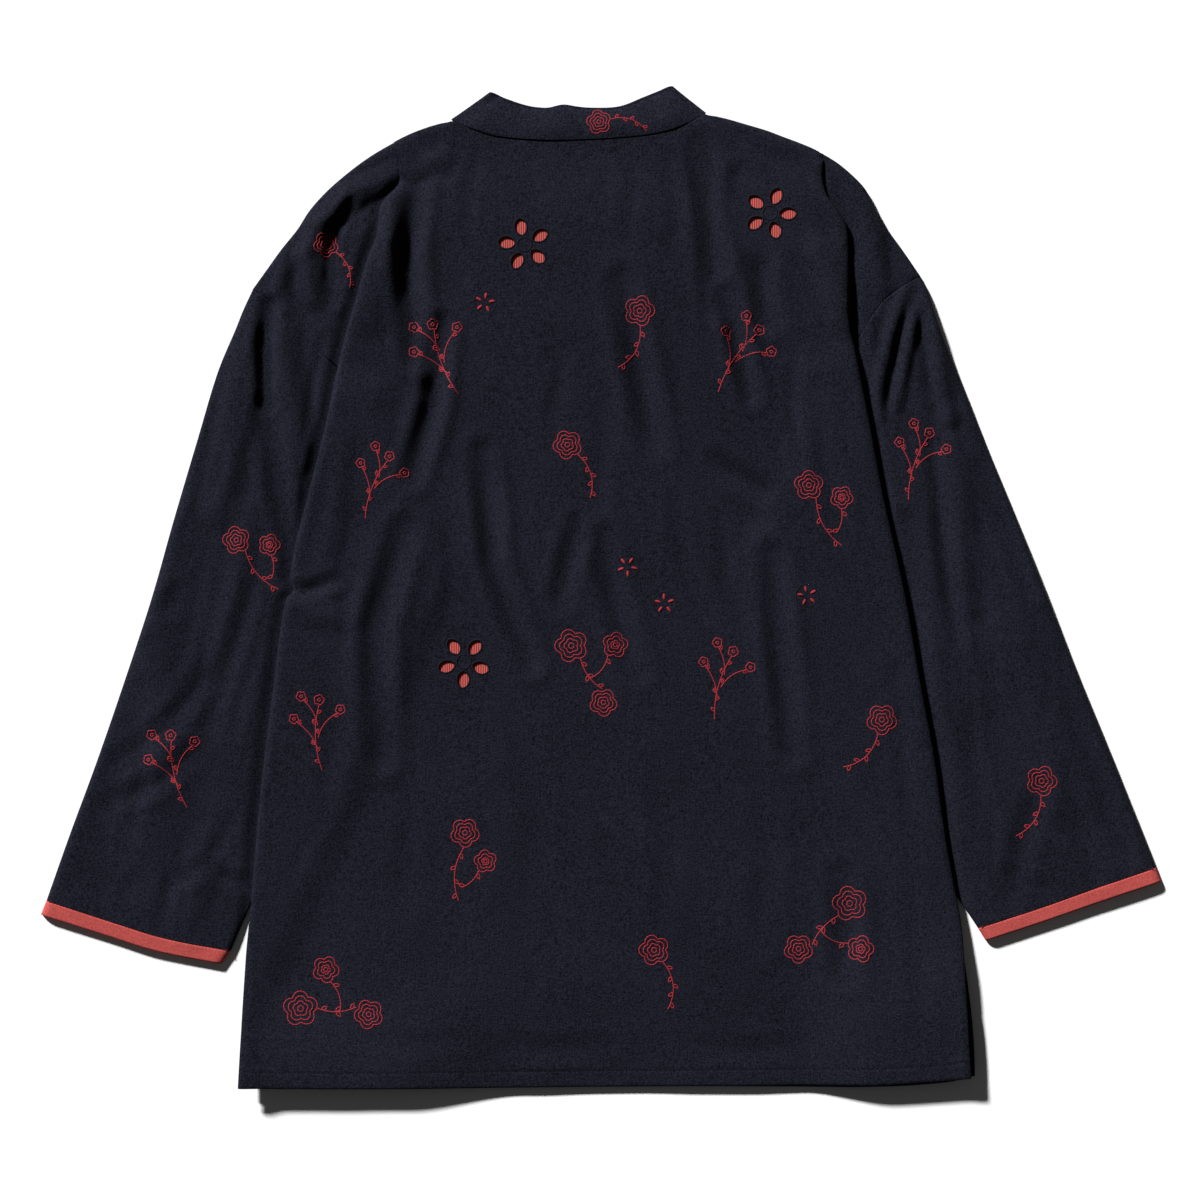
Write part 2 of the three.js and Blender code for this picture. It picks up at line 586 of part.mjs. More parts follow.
// A flattened tube over a plan patch: under layer on the floor, upper layer with its folds.
// Shares under 1 run along the under layer from inner to outer edge, the rest come back on top.
function tubeSurface(side, plan, from, to) {
  const middle = CLOTH / 2 + SLEEVE_STEP / 2;
  return (ringShare, share) => {
    const v = lerp(from, to, share);
    const onTop = ringShare >= 1;
    const u = onTop ? ringShare - 1 : 1 - ringShare;
    const point = plan(u, v);
    const inside = Math.min(point.distanceTo(plan(0, v)), point.distanceTo(plan(1, v)));
    const beyond = side.sign * (point.x - side.edge(point.y));
    const folds = foldHeight(side.folds, point.x, point.y);
    const puff = Math.max(0, SIDE_SWELL + folds) * smooth((beyond - 8) / 14);
    const layer = onTop ? SLEEVE_STEP / 2 : -SLEEVE_STEP / 2;
    point.z = middle + layer * rolled(inside, TUBE_EDGE) + (onTop ? puff * rolled(inside) : 0);
    return point;
  };
}

function ringShares(width, under, over) {
  const edge = [0, 0.2, 1].map((share) => (share * TUBE_EDGE) / width);
  const roll = [...edge, (EDGE_ROLL * 0.5) / width, EDGE_ROLL / width];
  const fill = (start, count) => {
    const from = start[start.length - 1];
    const between = Array.from({ length: count - 1 }, (_, i) => lerp(from, 1 - from, (i + 1) / count));
    return [...start, ...between, ...start.slice(1).map((share) => 1 - share).reverse()];
  };
  return [...fill(edge, under), ...fill(roll, over).map((share) => share + 1)];
}

function sleeveGeometry(side) {
  const seam = curve(side.armhole.slice(0, 6));
  const hidden = curve(side.armhole.slice(5));
  const armhole = (u) => (u < SEAM_SHARE ? seam(u / SEAM_SHARE) : hidden((u - SEAM_SHARE) / (1 - SEAM_SHARE)));
  const plan = patch(armhole, curve(side.cuff), curve(side.outer), curve(side.inner));
  const surface = tubeSurface(side, plan, 0.0012, 1);
  return wall(surface, ringShares(180, 8, 12), shares(1, 17, false, false), CLOTH, true);
}

function cuffGeometry(side) {
  const ends = [side.cuff, side.cuffEnd];
  const edgeLine = (i) => (t) => {
    const [a, b] = ends.map((rows) => rows[i < 0 ? rows.length - 1 : i]);
    return new THREE.Vector3(lerp(a.x, b.x, t), lerp(a.y, b.y, t), 0);
  };
  const plan = patch(curve(side.cuff), curve(side.cuffEnd), edgeLine(0), edgeLine(-1));
  const surface = tubeSurface(side, plan, 0.04, 1);
  return wall(surface, ringShares(145, 6, 12), [0, 0.5, 1], CLOTH, true);
}

// The collar band: along the front neck on the floor, folded over at each neck point, back above it.
function collarGeometry() {
  const neckPoints = [BACK_NECK[0], BACK_NECK[BACK_NECK.length - 1]];
  const backBase = follow(BACK_NECK, 'x', 'y');
  const backTop = curve(COLLAR_BACK_TOP);
  const stations = [];
  const frontPart = (sign) => {
    const pick = (rows) => {
      const part = rows.filter((row) => sign * (row.x - FRONT_CENTRE) > 1);
      return curve(sign < 0 ? part.slice().reverse() : part);
    };
    const start = { x: FRONT_CENTRE + sign * COLLAR_OPENING };
    const base = pick([...FRONT_NECK, { ...start, y: FRONT_NECK_DROP }].sort((a, b) => a.x - b.x));
    const top = pick([...COLLAR_FRONT_TOP, { ...start, y: 312 }].sort((a, b) => a.x - b.x));
    return Array.from({ length: 8 }, (_, i) => {
      const low = base(i / 7).setZ(COLLAR_CLOTH / 2);
      return { low, high: top(i / 7).setZ(COLLAR_CLOTH / 2) };
    });
  };
  const foldPart = (neck, peak) => {
    const low = new THREE.Vector3(neck.x, neck.y, COLLAR_BASE_RISE);
    const high = new THREE.Vector3(peak.x, peak.y, peak.z);
    const outwards = new THREE.Vector3(low.y - high.y, high.x - low.x, 0).normalize();
    if (outwards.y < 0) outwards.negate();
    return [-0.5, 0, 0.5].map((turn) => {
      const swing = (end) => {
        const radius = (end.z - COLLAR_CLOTH / 2) / 2;
        const moved = end.clone().addScaledVector(outwards, radius * Math.cos(turn * 1.1 * Math.PI / 1.6));
        return moved.setZ(COLLAR_CLOTH / 2 + radius * (1 + Math.sin((turn * Math.PI) / 1.4)));
      };
      return { low: swing(low), high: swing(high) };
    });
  };
  stations.push(...frontPart(-1));
  stations.push(...foldPart(neckPoints[0], COLLAR_BACK_TOP[0]));
  for (let i = 0; i <= 22; i += 1) {
    const x = lerp(neckPoints[0].x, neckPoints[1].x, i / 22);
    const fromFold = Math.min(x - neckPoints[0].x, neckPoints[1].x - x);
    const z = lerp(COLLAR_BASE_RISE, COLLAR_MIDDLE_RISE, smooth(fromFold / 18));
    stations.push({ low: new THREE.Vector3(x, backBase(x), z), high: backTop(i / 22) });
  }
  stations.push(...foldPart(neckPoints[1], COLLAR_BACK_TOP[COLLAR_BACK_TOP.length - 1]).reverse());
  stations.push(...frontPart(1).reverse());
  const surface = (i, v) => stations[i].low.clone().lerp(stations[i].high, lerp(0.041, 1, v));
  return wall(surface, stations.map((_, i) => i), [0, 0.2, 0.4, 0.6, 0.8, 1], COLLAR_CLOTH);
}

const group = new THREE.Group();
group.name = 'stand_collar_jacket';

function add(name, geometry, color) {
  geometry.computeVertexNormals();
  const material = new THREE.MeshStandardMaterial({ color, roughness: 0.9, side: THREE.DoubleSide });
  const mesh = new THREE.Mesh(geometry, material);
  mesh.name = name;
  group.add(mesh);
}

add('back', backGeometry(), NAVY);
BLOSSOMS.forEach((blossom, i) => add(`backing_${i + 1}`, backingGeometry(blossom), RED));
add('left_front', frontGeometry(SIDES.left), NAVY);
add('right_front', frontGeometry(SIDES.right), NAVY);
add('left_sleeve', sleeveGeometry(SIDES.left), NAVY);
add('right_sleeve', sleeveGeometry(SIDES.right), NAVY);
add('left_cuff_band', cuffGeometry(SIDES.left), RED);
add('right_cuff_band', cuffGeometry(SIDES.right), RED);
add('collar', collarGeometry(), NAVY);

// Centres the jacket on the frame's origin and sets its underside on the floor.
const box = new THREE.Box3().setFromObject(group);
const middle = box.getCenter(new THREE.Vector3());
group.children.forEach((mesh) => mesh.geometry.translate(-middle.x, -middle.y, -box.min.z));

export default group;
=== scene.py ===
"""Stand-collar jacket with wide sleeves, laid flat on its front: cloth, openwork and embroidery."""

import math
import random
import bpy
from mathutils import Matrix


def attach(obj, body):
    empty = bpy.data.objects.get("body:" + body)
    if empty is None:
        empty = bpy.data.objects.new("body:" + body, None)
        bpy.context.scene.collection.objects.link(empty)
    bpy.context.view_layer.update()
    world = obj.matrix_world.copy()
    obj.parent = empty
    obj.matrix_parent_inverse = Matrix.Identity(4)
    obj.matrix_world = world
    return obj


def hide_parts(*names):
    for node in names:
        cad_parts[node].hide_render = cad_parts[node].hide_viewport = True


bl_info = {
    "name": "Stand-Collar Jacket Laid Flat",
    "version": (1, 0, 0),
    "blender": (4, 5, 0),
    "location": "View3D > Sidebar > Jacket",
    "description": "Cloth pieces, openwork, embroidery and stage of a jacket laid flat",
    "category": "Add Mesh",
}

import bmesh
import bpy
import numpy as np
from mathutils import Vector

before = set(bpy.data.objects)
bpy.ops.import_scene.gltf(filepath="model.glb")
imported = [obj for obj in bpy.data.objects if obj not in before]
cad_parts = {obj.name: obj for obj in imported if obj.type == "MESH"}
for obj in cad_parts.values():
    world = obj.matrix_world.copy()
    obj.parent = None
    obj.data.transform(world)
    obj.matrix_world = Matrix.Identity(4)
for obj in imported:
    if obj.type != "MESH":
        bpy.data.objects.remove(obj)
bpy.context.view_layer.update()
MM = 0.001

# Outlines seen from above, in millimetres, from the collar end to the hem end or from left to right.
BACK_NECK = [
    (-113, 352), (-99, 346.5), (-83, 341.2), (-64, 338.6), (-45, 337.4), (-24, 337.5),
    (-3, 338.2), (18, 339.6), (39, 342), (60, 347.5), (79, 357),
]
FRONT_NECK = [
    (-113, 352), (-109, 331), (-97, 309), (-77, 292), (-50, 281), (-18, 277),
    (14, 281), (42, 293), (62, 312), (74, 334), (79, 357),
]
LEFT_SHOULDER = [
    (-113, 352), (-126, 348.8), (-140, 344), (-149, 340), (-158, 335.2), (-173, 326), (-188, 315.4),
    (-206, 300.2), (-220, 285), (-230, 269.8), (-242, 254.6), (-253, 239.4), (-264, 224),
]
RIGHT_SHOULDER = [
    (79, 357), (95, 353.4), (111, 348.8), (126, 344.3), (138, 339.7), (150, 335.2), (161, 330.6),
    (174, 323.5), (185, 315.4), (200, 300.2), (208, 285), (217, 269.8), (228, 254.6), (242, 234),
]
LEFT_ARMHOLE = [
    (-264, 224), (-249, 213.5), (-237, 202), (-226, 189), (-213, 176), (-200, 164),
    (-207, 130), (-196, 98), (-176, 60), (-153, 19),
]
RIGHT_ARMHOLE = [
    (242, 234), (228, 226), (214, 215), (205, 203), (198, 191), (191, 181),
    (200.5, 146), (192, 106), (174, 60), (153, 19),
]
LEFT_BODY_EDGE = [
    (-157, 335.7), (-153, 320), (-153, 306), (-167, 287), (-170, 264), (-176, 249), (-181, 233),
    (-186, 215), (-191, 198), (-199, 166), (-207, 126), (-224, 58), (-232, 26), (-235, 4),
    (-232, -3), (-238, -11), (-248, -80), (-258, -163), (-265, -243), (-269, -285), (-274, -380.5),
]
RIGHT_BODY_EDGE = [
    (169, 326.6), (167.5, 312), (170, 298), (179, 284), (187, 268), (188, 250), (188, 206),
    (190, 191), (193, 176), (198, 150), (203, 125), (214, 66), (223, 26), (231, -11), (241, -69),
    (252, -128), (261, -192), (267, -226), (273, -261), (276, -310), (279.5, -373),
]
LEFT_SLEEVE_OUTER = [
    (-264, 224), (-271, 209), (-277, 194), (-290, 163), (-306, 110), (-324, 49), (-341, -11),
    (-361, -72), (-382, -133), (-403, -190), (-420.5, -239.4),
]
RIGHT_SLEEVE_OUTER = [
    (242, 234), (247, 224), (257, 194), (269, 163), (290, 110), (315, 49), (339, -11),
    (363, -72), (388, -133), (406, -178), (420.5, -214.3),
]
LEFT_SLEEVE_INNER = [(-153, 19), (-180, -45), (-208, -110), (-237, -175), (-265, -239), (-281.5, -277.4)]
RIGHT_SLEEVE_INNER = [(153, 19), (181, -45), (209, -110), (237, -170), (262, -222), (286.5, -260)]
LEFT_CUFF = [(-420.5, -239.4), (-368, -256.5), (-333, -267.3), (-281.5, -277.4)]
RIGHT_CUFF = [(420.5, -214.3), (376, -229.5), (331, -245.5), (286.5, -260)]
LEFT_CUFF_END = [(-424.8, -250.2), (-374, -266.2), (-339.5, -277.2), (-288.4, -287.4)]
RIGHT_CUFF_END = [(424.8, -225), (381, -239.6), (336.5, -255), (292.4, -269.6)]
BACK_HEM = [
    (-274, -380.5), (-190, -381), (-90, -381), (0, -380.3), (100, -379.6), (197, -378.4),
    (250, -375.8), (279.5, -373),
]
FRONT_HEM = [
    (-272, -378.8), (-180, -379.4), (-60, -380), (60, -380.6), (156, -381), (220, -379.6),
    (262, -376.6), (283, -371.6),
]
FRONT_CENTRE = -18
FRONT_NECK_DROP = 277
VENT_TOP = -262

# How high the back swells beside its two side edges: (y, height).
LEFT_SWELL = [
    (336, -1.1), (312, 0.2), (290, 3.4), (262, 5.6), (215, 6.4), (164, 6), (60, 4.2), (0, 3.4),
    (-120, 2.2), (-260, 1.6), (-381, 0.4),
]
RIGHT_SWELL = [
    (327, 0.2), (305, 2.4), (280, 4.4), (250, 6), (195, 6.2), (150, 3.6), (40, 2.5), (-120, 1.9),
    (-260, 1.1), (-381, 0.6),
]

# Folds: (start x, y, middle x, y, end x, y, width, height), a trough where the height is negative.
BACK_FOLDS = [
    (-143, 318, -150, 255, -142, 176, 10, -3.6),
    (-124, 200, -130, 141, -146, 84, 9, -3.2),
    (-93, 104, -85, 20, -56, -56, 9, -3),
    (-152, 44, -173, -30, -170, -128, 11, -2.8),
    (-20, 48, -28, 18, -33, -10, 9, -1.8),
    (12, 232, 25, 170, 38, 110, 11, -2.2),
    (-2, 38, 8, -8, 24, -62, 10, -2),
    (72, 336, 80, 280, 84, 212, 10, -2.2),
    (92, 222, 101, 186, 111, 146, 8, -3.2),
    (86, 98, 100, 86, 120, 72, 8, -2.4),
    (104, 312, 115, 255, 125, 204, 10, -2.8),
    (126, 26, 134, -48, 142, -124, 10, -2.4),
    (180, -218, 184, -254, 182, -292, 11, -1.8),
    (-84, -346, -40, -349, 4, -346, 9, -1.4),
    (150, 270, 168, 246, 184, 206, 11, 2.4),
    (-146, 316, -160, 270, -178, 206, 13, 2),
    (-124, 326, -142, 322, -160, 314, 8, 2.4),
    (-236, -2, -222, 0, -204, 6, 6, -2.2),
    (-232, -14, -216, -20, -196, -24, 9, 1.4),
]
LEFT_SIDE_FOLDS = [
    (-160, 313, -196, 297, -218, 276, 9, 5),
    (-218, 276, -226, 252, -221, 222, 9, 4.4),
    (-172, 302, -200, 272, -206, 224, 9, -3),
    (-254, 214, -258, 186, -256, 140, 7, -4.5),
    (-256, 140, -248, 80, -236, 20, 9, -3.5),
    (-244, 206, -240, 160, -228, 96, 10, 3.4),
    (-268, 200, -280, 130, -292, 60, 12, 3.6),
    (-336, -40, -330, -110, -346, -190, 22, 2.6),
    (-300, -60, -330, -104, -372, -134, 9, -1.6),
    (-310, -124, -342, -150, -380, -164, 8, -1.4),
    (-296, -214, -276, -224, -262, -232, 7, -2),
    (-300, -190, -310, -225, -316, -262, 12, 1.4),
]
RIGHT_SIDE_FOLDS = [
    (194, 300, 204, 268, 210, 232, 10, 3),
    (228, 224, 216, 190, 205, 130, 6, 2.6),
    (236, 226, 226, 200, 212, 139, 6, -4),
    (236, 218, 230, 190, 222, 139, 5, 3),
    (241, 222, 242, 193, 247, 148, 6, -3.4),
    (243, 226, 252, 190, 262, 130, 7, 4.4),
    (262, 130, 270, 60, 276, -12, 10, 2.6),
    (228, 50, 238, -60, 258, -180, 10, -2.6),
    (300, 20, 320, -60, 352, -150, 22, 2.8),
    (330, -150, 318, -190, 306, -238, 10, -1.6),
    (352, -140, 360, -180, 372, -216, 10, -1.4),
]

# Shorter creases that only the cloth shells carry. A row on a fold's own line weakens that fold.
BACK_CREASES = [
    (-96, 330, -104, 300, -100, 262, 7, -0.9),
    (-60, 326, -52, 296, -56, 268, 8, -0.6),
    (18, 330, 22, 300, 14, 262, 8, -0.7),
    (-84, -346, -40, -349, 4, -346, 9, 1.3),
    (48, 328, 54, 290, 50, 250, 7, -0.8),
    (-122, 60, -116, 20, -120, -24, 7, -1),
    (-84, 90, -78, 60, -80, 30, 5, -1.2),
    (-40, 190, -34, 150, -40, 104, 8, -0.8),
    (52, 70, 60, 24, 74, -20, 7, -1.1),
    (88, 60, 92, 10, 104, -40, 7, -0.9),
    (160, 150, 166, 100, 178, 40, 9, -1.2),
    (144, 176, 142, 140, 150, 96, 6, -1),
    (-196, 120, -204, 60, -212, 20, 8, 1.2),
    (-186, 60, -196, 20, -196, -40, 7, -1),
    (-210, -60, -204, -110, -212, -170, 9, -1),
    (-150, -120, -146, -180, -152, -240, 10, -0.8),
    (-60, -120, -52, -170, -56, -230, 11, -0.7),
    (40, -130, 48, -190, 44, -250, 11, -0.8),
    (120, -150, 124, -210, 118, -270, 10, -0.9),
    (220, -60, 226, -130, 236, -200, 8, -1),
    (232, -220, 238, -280, 240, -340, 9, -0.8),
    (150, -346, 110, -350, 70, -347, 8, -0.8),
    (-200, -338, -150, -346, -110, -342, 8, -0.7),
    (134, 322, 156, 302, 170, 276, 10, -2),
    (162, 320, 163, 298, 176, 278, 6, 1.4),
    (22, 204, 27, 165, 36, 120, 10, -1.3),
    (-2, 150, 0, 110, -8, 60, 9, -0.9),
    (120, 330, 146, 322, 166, 306, 7, -1.2),
    (-130, 338, -146, 324, -160, 304, 6, -1.3),
]
LEFT_CREASES = [
    (-160, 313, -184, 302, -206, 288, 9, -2.2),
    (-174, 302, -196, 278, -204, 246, 8, 2),
    (-238, 268, -246, 240, -244, 214, 7, 1.6),
    (-270, 60, -280, 0, -296, -60, 9, 1.6),
    (-318, 60, -334, 0, -346, -60, 9, 1.2),
    (-190, 300, -206, 268, -208, 236, 5, -1.6),
    (-226, 262, -244, 238, -252, 222, 6, 1),
    (-214, 190, -222, 150, -226, 116, 5, -1.2),
    (-272, 170, -282, 120, -296, 70, 6, -1.1),
    (-300, 40, -312, -20, -330, -80, 8, -0.9),
    (-268, 0, -288, -60, -300, -110, 8, -1.2),
    (-356, -100, -350, -140, -360, -190, 7, -0.9),
    (-392, -176, -376, -196, -352, -206, 7, -0.9),
    (-284, -176, -300, -206, -328, -226, 7, -1),
    (-396, -204, -380, -226, -376, -244, 6, -0.7),
    (-330, -216, -334, -236, -338, -256, 6, -0.8),
]
RIGHT_CREASES = [
    (172, 320, 177, 300, 190, 278, 6, -2.4),
    (236, 226, 226, 200, 212, 139, 6, 2.3),
    (241, 222, 242, 193, 247, 148, 6, 1.9),
    (188, 312, 202, 304, 214, 300, 5, 1.6),
    (284, 130, 300, 66, 322, 0, 9, -2),
    (248, 110, 256, 40, 268, -40, 7, -1.8),
    (300, 90, 320, 30, 344, -40, 9, 1.6),
    (212, 276, 216, 252, 218, 236, 5, -1.2),
    (200, 196, 206, 170, 208, 120, 5, 1.2),
    (250, 190, 262, 150, 274, 110, 5, -1.2),
    (284, 90, 296, 30, 312, -30, 8, -1),
    (262, 40, 276, -20, 288, -90, 9, 1),
    (276, -100, 284, -150, 296, -200, 8, -0.9),
    (350, -80, 368, -130, 384, -176, 8, -0.9),
    (300, -210, 318, -224, 340, -228, 6, -0.9),
    (380, -160, 392, -186, 398, -206, 6, -0.8),
]

COLLAR_BACK_TOP = [
    (-85.5, 374.6, 4.6), (-71, 368.5, 7.4), (-50, 362.6, 9.4), (-28, 363.4, 10.6), (-6, 362, 11),
    (14, 363, 10.4), (32, 370, 8.6), (46, 375.6, 6.4), (55.5, 379.1, 4.6),
]
COLLAR_FRONT_TOP = [
    (-85.5, 374.6), (-78, 350), (-62, 330), (-41, 317), (-18, 312),
    (6, 317), (28, 331), (46, 352), (55.5, 379.1),
]

# Openwork blossoms: (x, y, turn in degrees).
BLOSSOMS = [(-58, 258, 12), (128, 282, -20), (-104, -58, 34)]
PETALS = 5
PETAL_RING = 13.5
PETAL_LENGTH = 13
PETAL_WIDTH = 10.5
BACKING_RADIUS = 22

# Walls and layers, as in the solids.
FLOOR_LAYER = 0.6
LAYER_STEP = 1.5
SLEEVE_STEP = 1.8
LIFT_OVER_SLEEVE = 3.3
LIFT_RAMP = 30
RAMP_ROOM = 9
EDGE_ROLL = 5.5
TUBE_EDGE = 0.9
BACK_SWELL = 2
BACK_CROWN = 2.6
SIDE_SWELL = 3
LEFT_CORNER_LIFT = 9
RIGHT_CORNER_LIFT = 8
SEAM_SHARE = 0.375
COLLAR_FLOOR = 0.8
COLLAR_BASE_RISE = 2.9
COLLAR_OPENING = 1.2
COLLAR_FRONT_END = 312

# What only the cloth shells have: heights, shifts and the collar's rounded corners.
FOLD_GAIN = 1.3
CROWN_GAIN = 1.6
FOLD_SHIFT = 3
MOUTH_SHIFT = 5.5
COLLAR_MIDDLE_RISE = 4.5
COLLAR_TOP_DROP = 0.6
COLLAR_CORNER = 11
LEAST_SWELL = 0.7
SWELL_KNEE = 0.8

# Seams, hem and openwork, in millimetres.
HEM_STITCH_LINE = 12
HEM_ENDS = (-262, 268)
EDGE_ROUND = 1.4
SEAM_ROUND = 1.5
NECK_ROUND = 0.9
OPENWORK_ZONE = 23.5
BACKING_DROP = 1.1
CIRCLE_STEPS = 41

# Tints of the cloths' sheen.
NAVY_SHEEN = (0.75, 0.8, 1, 1)
RED_SHEEN = (1, 0.6, 0.55, 1)

# Key light and camera.
KEY_DIRECTION = (0.54, -0.69, -0.46)
KEY_ANGLE = 6
SENSOR_WIDTH = 36
VIEW_CENTRE = (-0.00076, -0.0114)


def lerp(a, b, t):
    return a + (b - a) * t


def smooth(t):
    t = np.clip(t, 0, 1)
    return t * t * (3 - 2 * t)


def follow(rows, key, value):
    """A smooth value that follows one column of a table as another column runs."""
    data = sorted(rows, key=lambda row: row[key])
    keys = np.array([row[key] for row in data], float)
    values = np.array([row[value] for row in data], float)
    slopes = np.diff(values) / np.diff(keys)
    before = np.concatenate([slopes[:1], slopes])
    after = np.concatenate([slopes, slopes[-1:]])
    alike = before * after > 0
    tangents = np.where(alike, 2 * before * after / np.where(alike, before + after, 1), 0)

    def at(place):
        place = np.clip(np.asarray(place, float), keys[0], keys[-1])
        i = np.clip(np.searchsorted(keys, place) - 1, 0, len(keys) - 2)
        span = keys[i + 1] - keys[i]
        t = (place - keys[i]) / span
        near = (1 + 2 * t) * (1 - t) ** 2 * values[i] + t * (1 - t) ** 2 * span * tangents[i]
        far = t * t * (3 - 2 * t) * values[i + 1] - t * t * (1 - t) * span * tangents[i + 1]
        return near + far

    return at


def curve(rows):
    """A smooth curve through points, read by the share of its length."""
    points = np.array([row[:3] if len(row) > 2 else (*row, 0) for row in rows], float)
    padded = np.vstack([2 * points[0] - points[1], points, 2 * points[-1] - points[-2]])
    line = []
    for a, b, c, d in zip(padded, padded[1:], padded[2:], padded[3:]):
        ta = 0
        tb = ta + math.sqrt(np.linalg.norm(b - a))
        tc = tb + math.sqrt(np.linalg.norm(c - b))
        td = tc + math.sqrt(np.linalg.norm(d - c))
        for t in np.linspace(tb, tc, 24, endpoint=False):
            ab = lerp(a, b, (t - ta) / (tb - ta))
            bc = lerp(b, c, (t - tb) / (tc - tb))
            cd = lerp(c, d, (t - tc) / (td - tc))
            near = lerp(ab, bc, (t - ta) / (tc - ta))
            far = lerp(bc, cd, (t - tb) / (td - tb))
            line.append(lerp(near, far, (t - tb) / (tc - tb)))
    line = np.vstack([line, points[-1]])
    reach = np.concatenate([[0], np.cumsum(np.linalg.norm(np.diff(line, axis=0), axis=1))])
    reach /= reach[-1]

    def at(t):
        return np.stack([np.interp(t, reach, line[:, k]) for k in range(3)], axis=-1)

    return at


def patch(top, bottom, left, right, hold=1):
    """A four-sided patch: top and bottom run in u, left and right run in v.

    A hold over 1 keeps the bends of the right side closer to it.
    """
    ends = np.array([0.0, 1.0])
    upper = top(ends)
    lower = bottom(ends)

    def plan(u, v):
        u = np.asarray(u, float)
        v = np.asarray(v, float)
        uu = u[..., None] ** hold
        vv = v[..., None]
        rows = (1 - vv) * top(u) + vv * bottom(u)
        sides = (1 - uu) * left(v) + uu * right(v)
        corners = (1 - uu) * (1 - vv) * upper[0] + uu * (1 - vv) * upper[1]
        corners += (1 - uu) * vv * lower[0] + uu * vv * lower[1]
        return rows + sides - corners

    return plan


def flat_points(x, y):
    return np.stack([x, y, np.zeros_like(x)], axis=-1)


def distance(a, b):
    return np.linalg.norm(a - b, axis=-1)


def rounded(away, width):
    """Rise of a quarter round, from 0 on its edge to 1 at its width."""
    return np.sqrt(1 - (1 - np.clip(away / width, 0, 1)) ** 2)


def bent(first, peak, last, t):
    """A bend from first to last, drawn towards peak."""
    return (1 - t) ** 2 * first + 2 * t * (1 - t) * peak + t * t * last


def spin(turn):
    """A turn in plan, in radians, for points written as rows."""
    return np.array(((math.cos(turn), -math.sin(turn)), (math.sin(turn), math.cos(turn)))).T


def circle(x, y, radius):
    t = np.linspace(0, math.tau, CIRCLE_STEPS)
    return np.stack([x + radius * np.cos(t), y + radius * np.sin(t)], axis=-1)


class Side:
    """One side of the jacket, with its outlines and folds."""

    def __init__(self, sign, shoulder, armhole, edge, swell, outer, inner, cuff, cuff_end, folds, creases, end):
        self.sign = sign
        self.shoulder = shoulder
        self.armhole = armhole
        self.edge_top = edge[0]
        self.edge_end = edge[-1]
        self.edge = follow(edge, 1, 0)
        self.swell = follow(swell, 0, 1)
        self.hidden = follow([*armhole[5:-1], *inner, end], 1, 0)
        self.outer = outer
        self.inner = inner
        self.cuff = cuff
        self.cuff_end = cuff_end
        self.folds = folds
        self.creases = creases
        self.seam_end = armhole[5]


LEFT = Side(-1, LEFT_SHOULDER, LEFT_ARMHOLE, LEFT_BODY_EDGE, LEFT_SWELL, LEFT_SLEEVE_OUTER,
            LEFT_SLEEVE_INNER, LEFT_CUFF, LEFT_CUFF_END, LEFT_SIDE_FOLDS, LEFT_CREASES, (-312, -335))
RIGHT = Side(1, RIGHT_SHOULDER, RIGHT_ARMHOLE, RIGHT_BODY_EDGE, RIGHT_SWELL, RIGHT_SLEEVE_OUTER,
             RIGHT_SLEEVE_INNER, RIGHT_CUFF, RIGHT_CUFF_END, RIGHT_SIDE_FOLDS, RIGHT_CREASES, (322, -312))
SIDES = {"left": LEFT, "right": RIGHT}

back_neck = follow(BACK_NECK, 0, 1)
left_shoulder = follow(LEFT_SHOULDER, 0, 1)
right_shoulder = follow(RIGHT_SHOULDER, 0, 1)
back_hem = follow(BACK_HEM, 0, 1)
front_hem = follow(FRONT_HEM, 0, 1)


def lift_share(x, y, room=0):
    """Share of the full lift of the front panels where a sleeve lies under them."""
    lifts = []
    for side in SIDES.values():
        inwards = side.sign * (side.hidden(y) - x)
        across = 1 - smooth((inwards - 20 - room) / LIFT_RAMP)
        lifts.append(across * smooth((side.seam_end[1] + room - 2 - y) / LIFT_RAMP))
    return np.maximum(*lifts)


def hem_lift(x, y):
    """Both layers stand up from the floor at the two hem corners."""
    left = LEFT_CORNER_LIFT * smooth((-60 - x) / 100) * smooth((-285 - y) / 90)
    right = RIGHT_CORNER_LIFT * smooth((x - 150) / 60) * smooth((-240 - y) / 90)
    return left + right


def front_height(x, y):
    return FLOOR_LAYER + LIFT_OVER_SLEEVE * lift_share(x, y) + hem_lift(x, y)


def back_rim(x, y):
    return FLOOR_LAYER + LIFT_OVER_SLEEVE * lift_share(x, y, RAMP_ROOM) + LAYER_STEP + hem_lift(x, y)


def fold_height(folds, x, y, crisp=0.4):
    """Sum of the troughs and ridges of a fold table, each narrow in its middle between two low shoulders."""
    total = np.zeros_like(x)
    x = x - FOLD_SHIFT
    y = y + FOLD_SHIFT
    for ax, ay, mx, my, bx, by, width, height in folds:
        best = np.full_like(x, 1e9)
        along = np.zeros_like(x)
        for number, (sx, sy, ex, ey) in enumerate(((ax, ay, mx, my), (mx, my, bx, by))):
            dx = ex - sx
            dy = ey - sy
            t = np.clip(((x - sx) * dx + (y - sy) * dy) / (dx * dx + dy * dy), 0, 1)
            away = np.hypot(x - sx - t * dx, y - sy - t * dy)
            along = np.where(away < best, (number + t) / 2, along)
            best = np.minimum(best, away)
        taper = np.sin(np.pi * (0.12 + 0.76 * along)) ** 0.8
        across = best / (0.85 * width)
        sharp = crisp * min(1, math.hypot(bx - ax, by - ay) / 60)
        shoulders = sharp * np.exp(-(((across - 1.7) / 0.65) ** 2))
        total += height * taper * ((1 + 0.3 * sharp) * np.exp(-across ** 1.6) - shoulders)
    return total


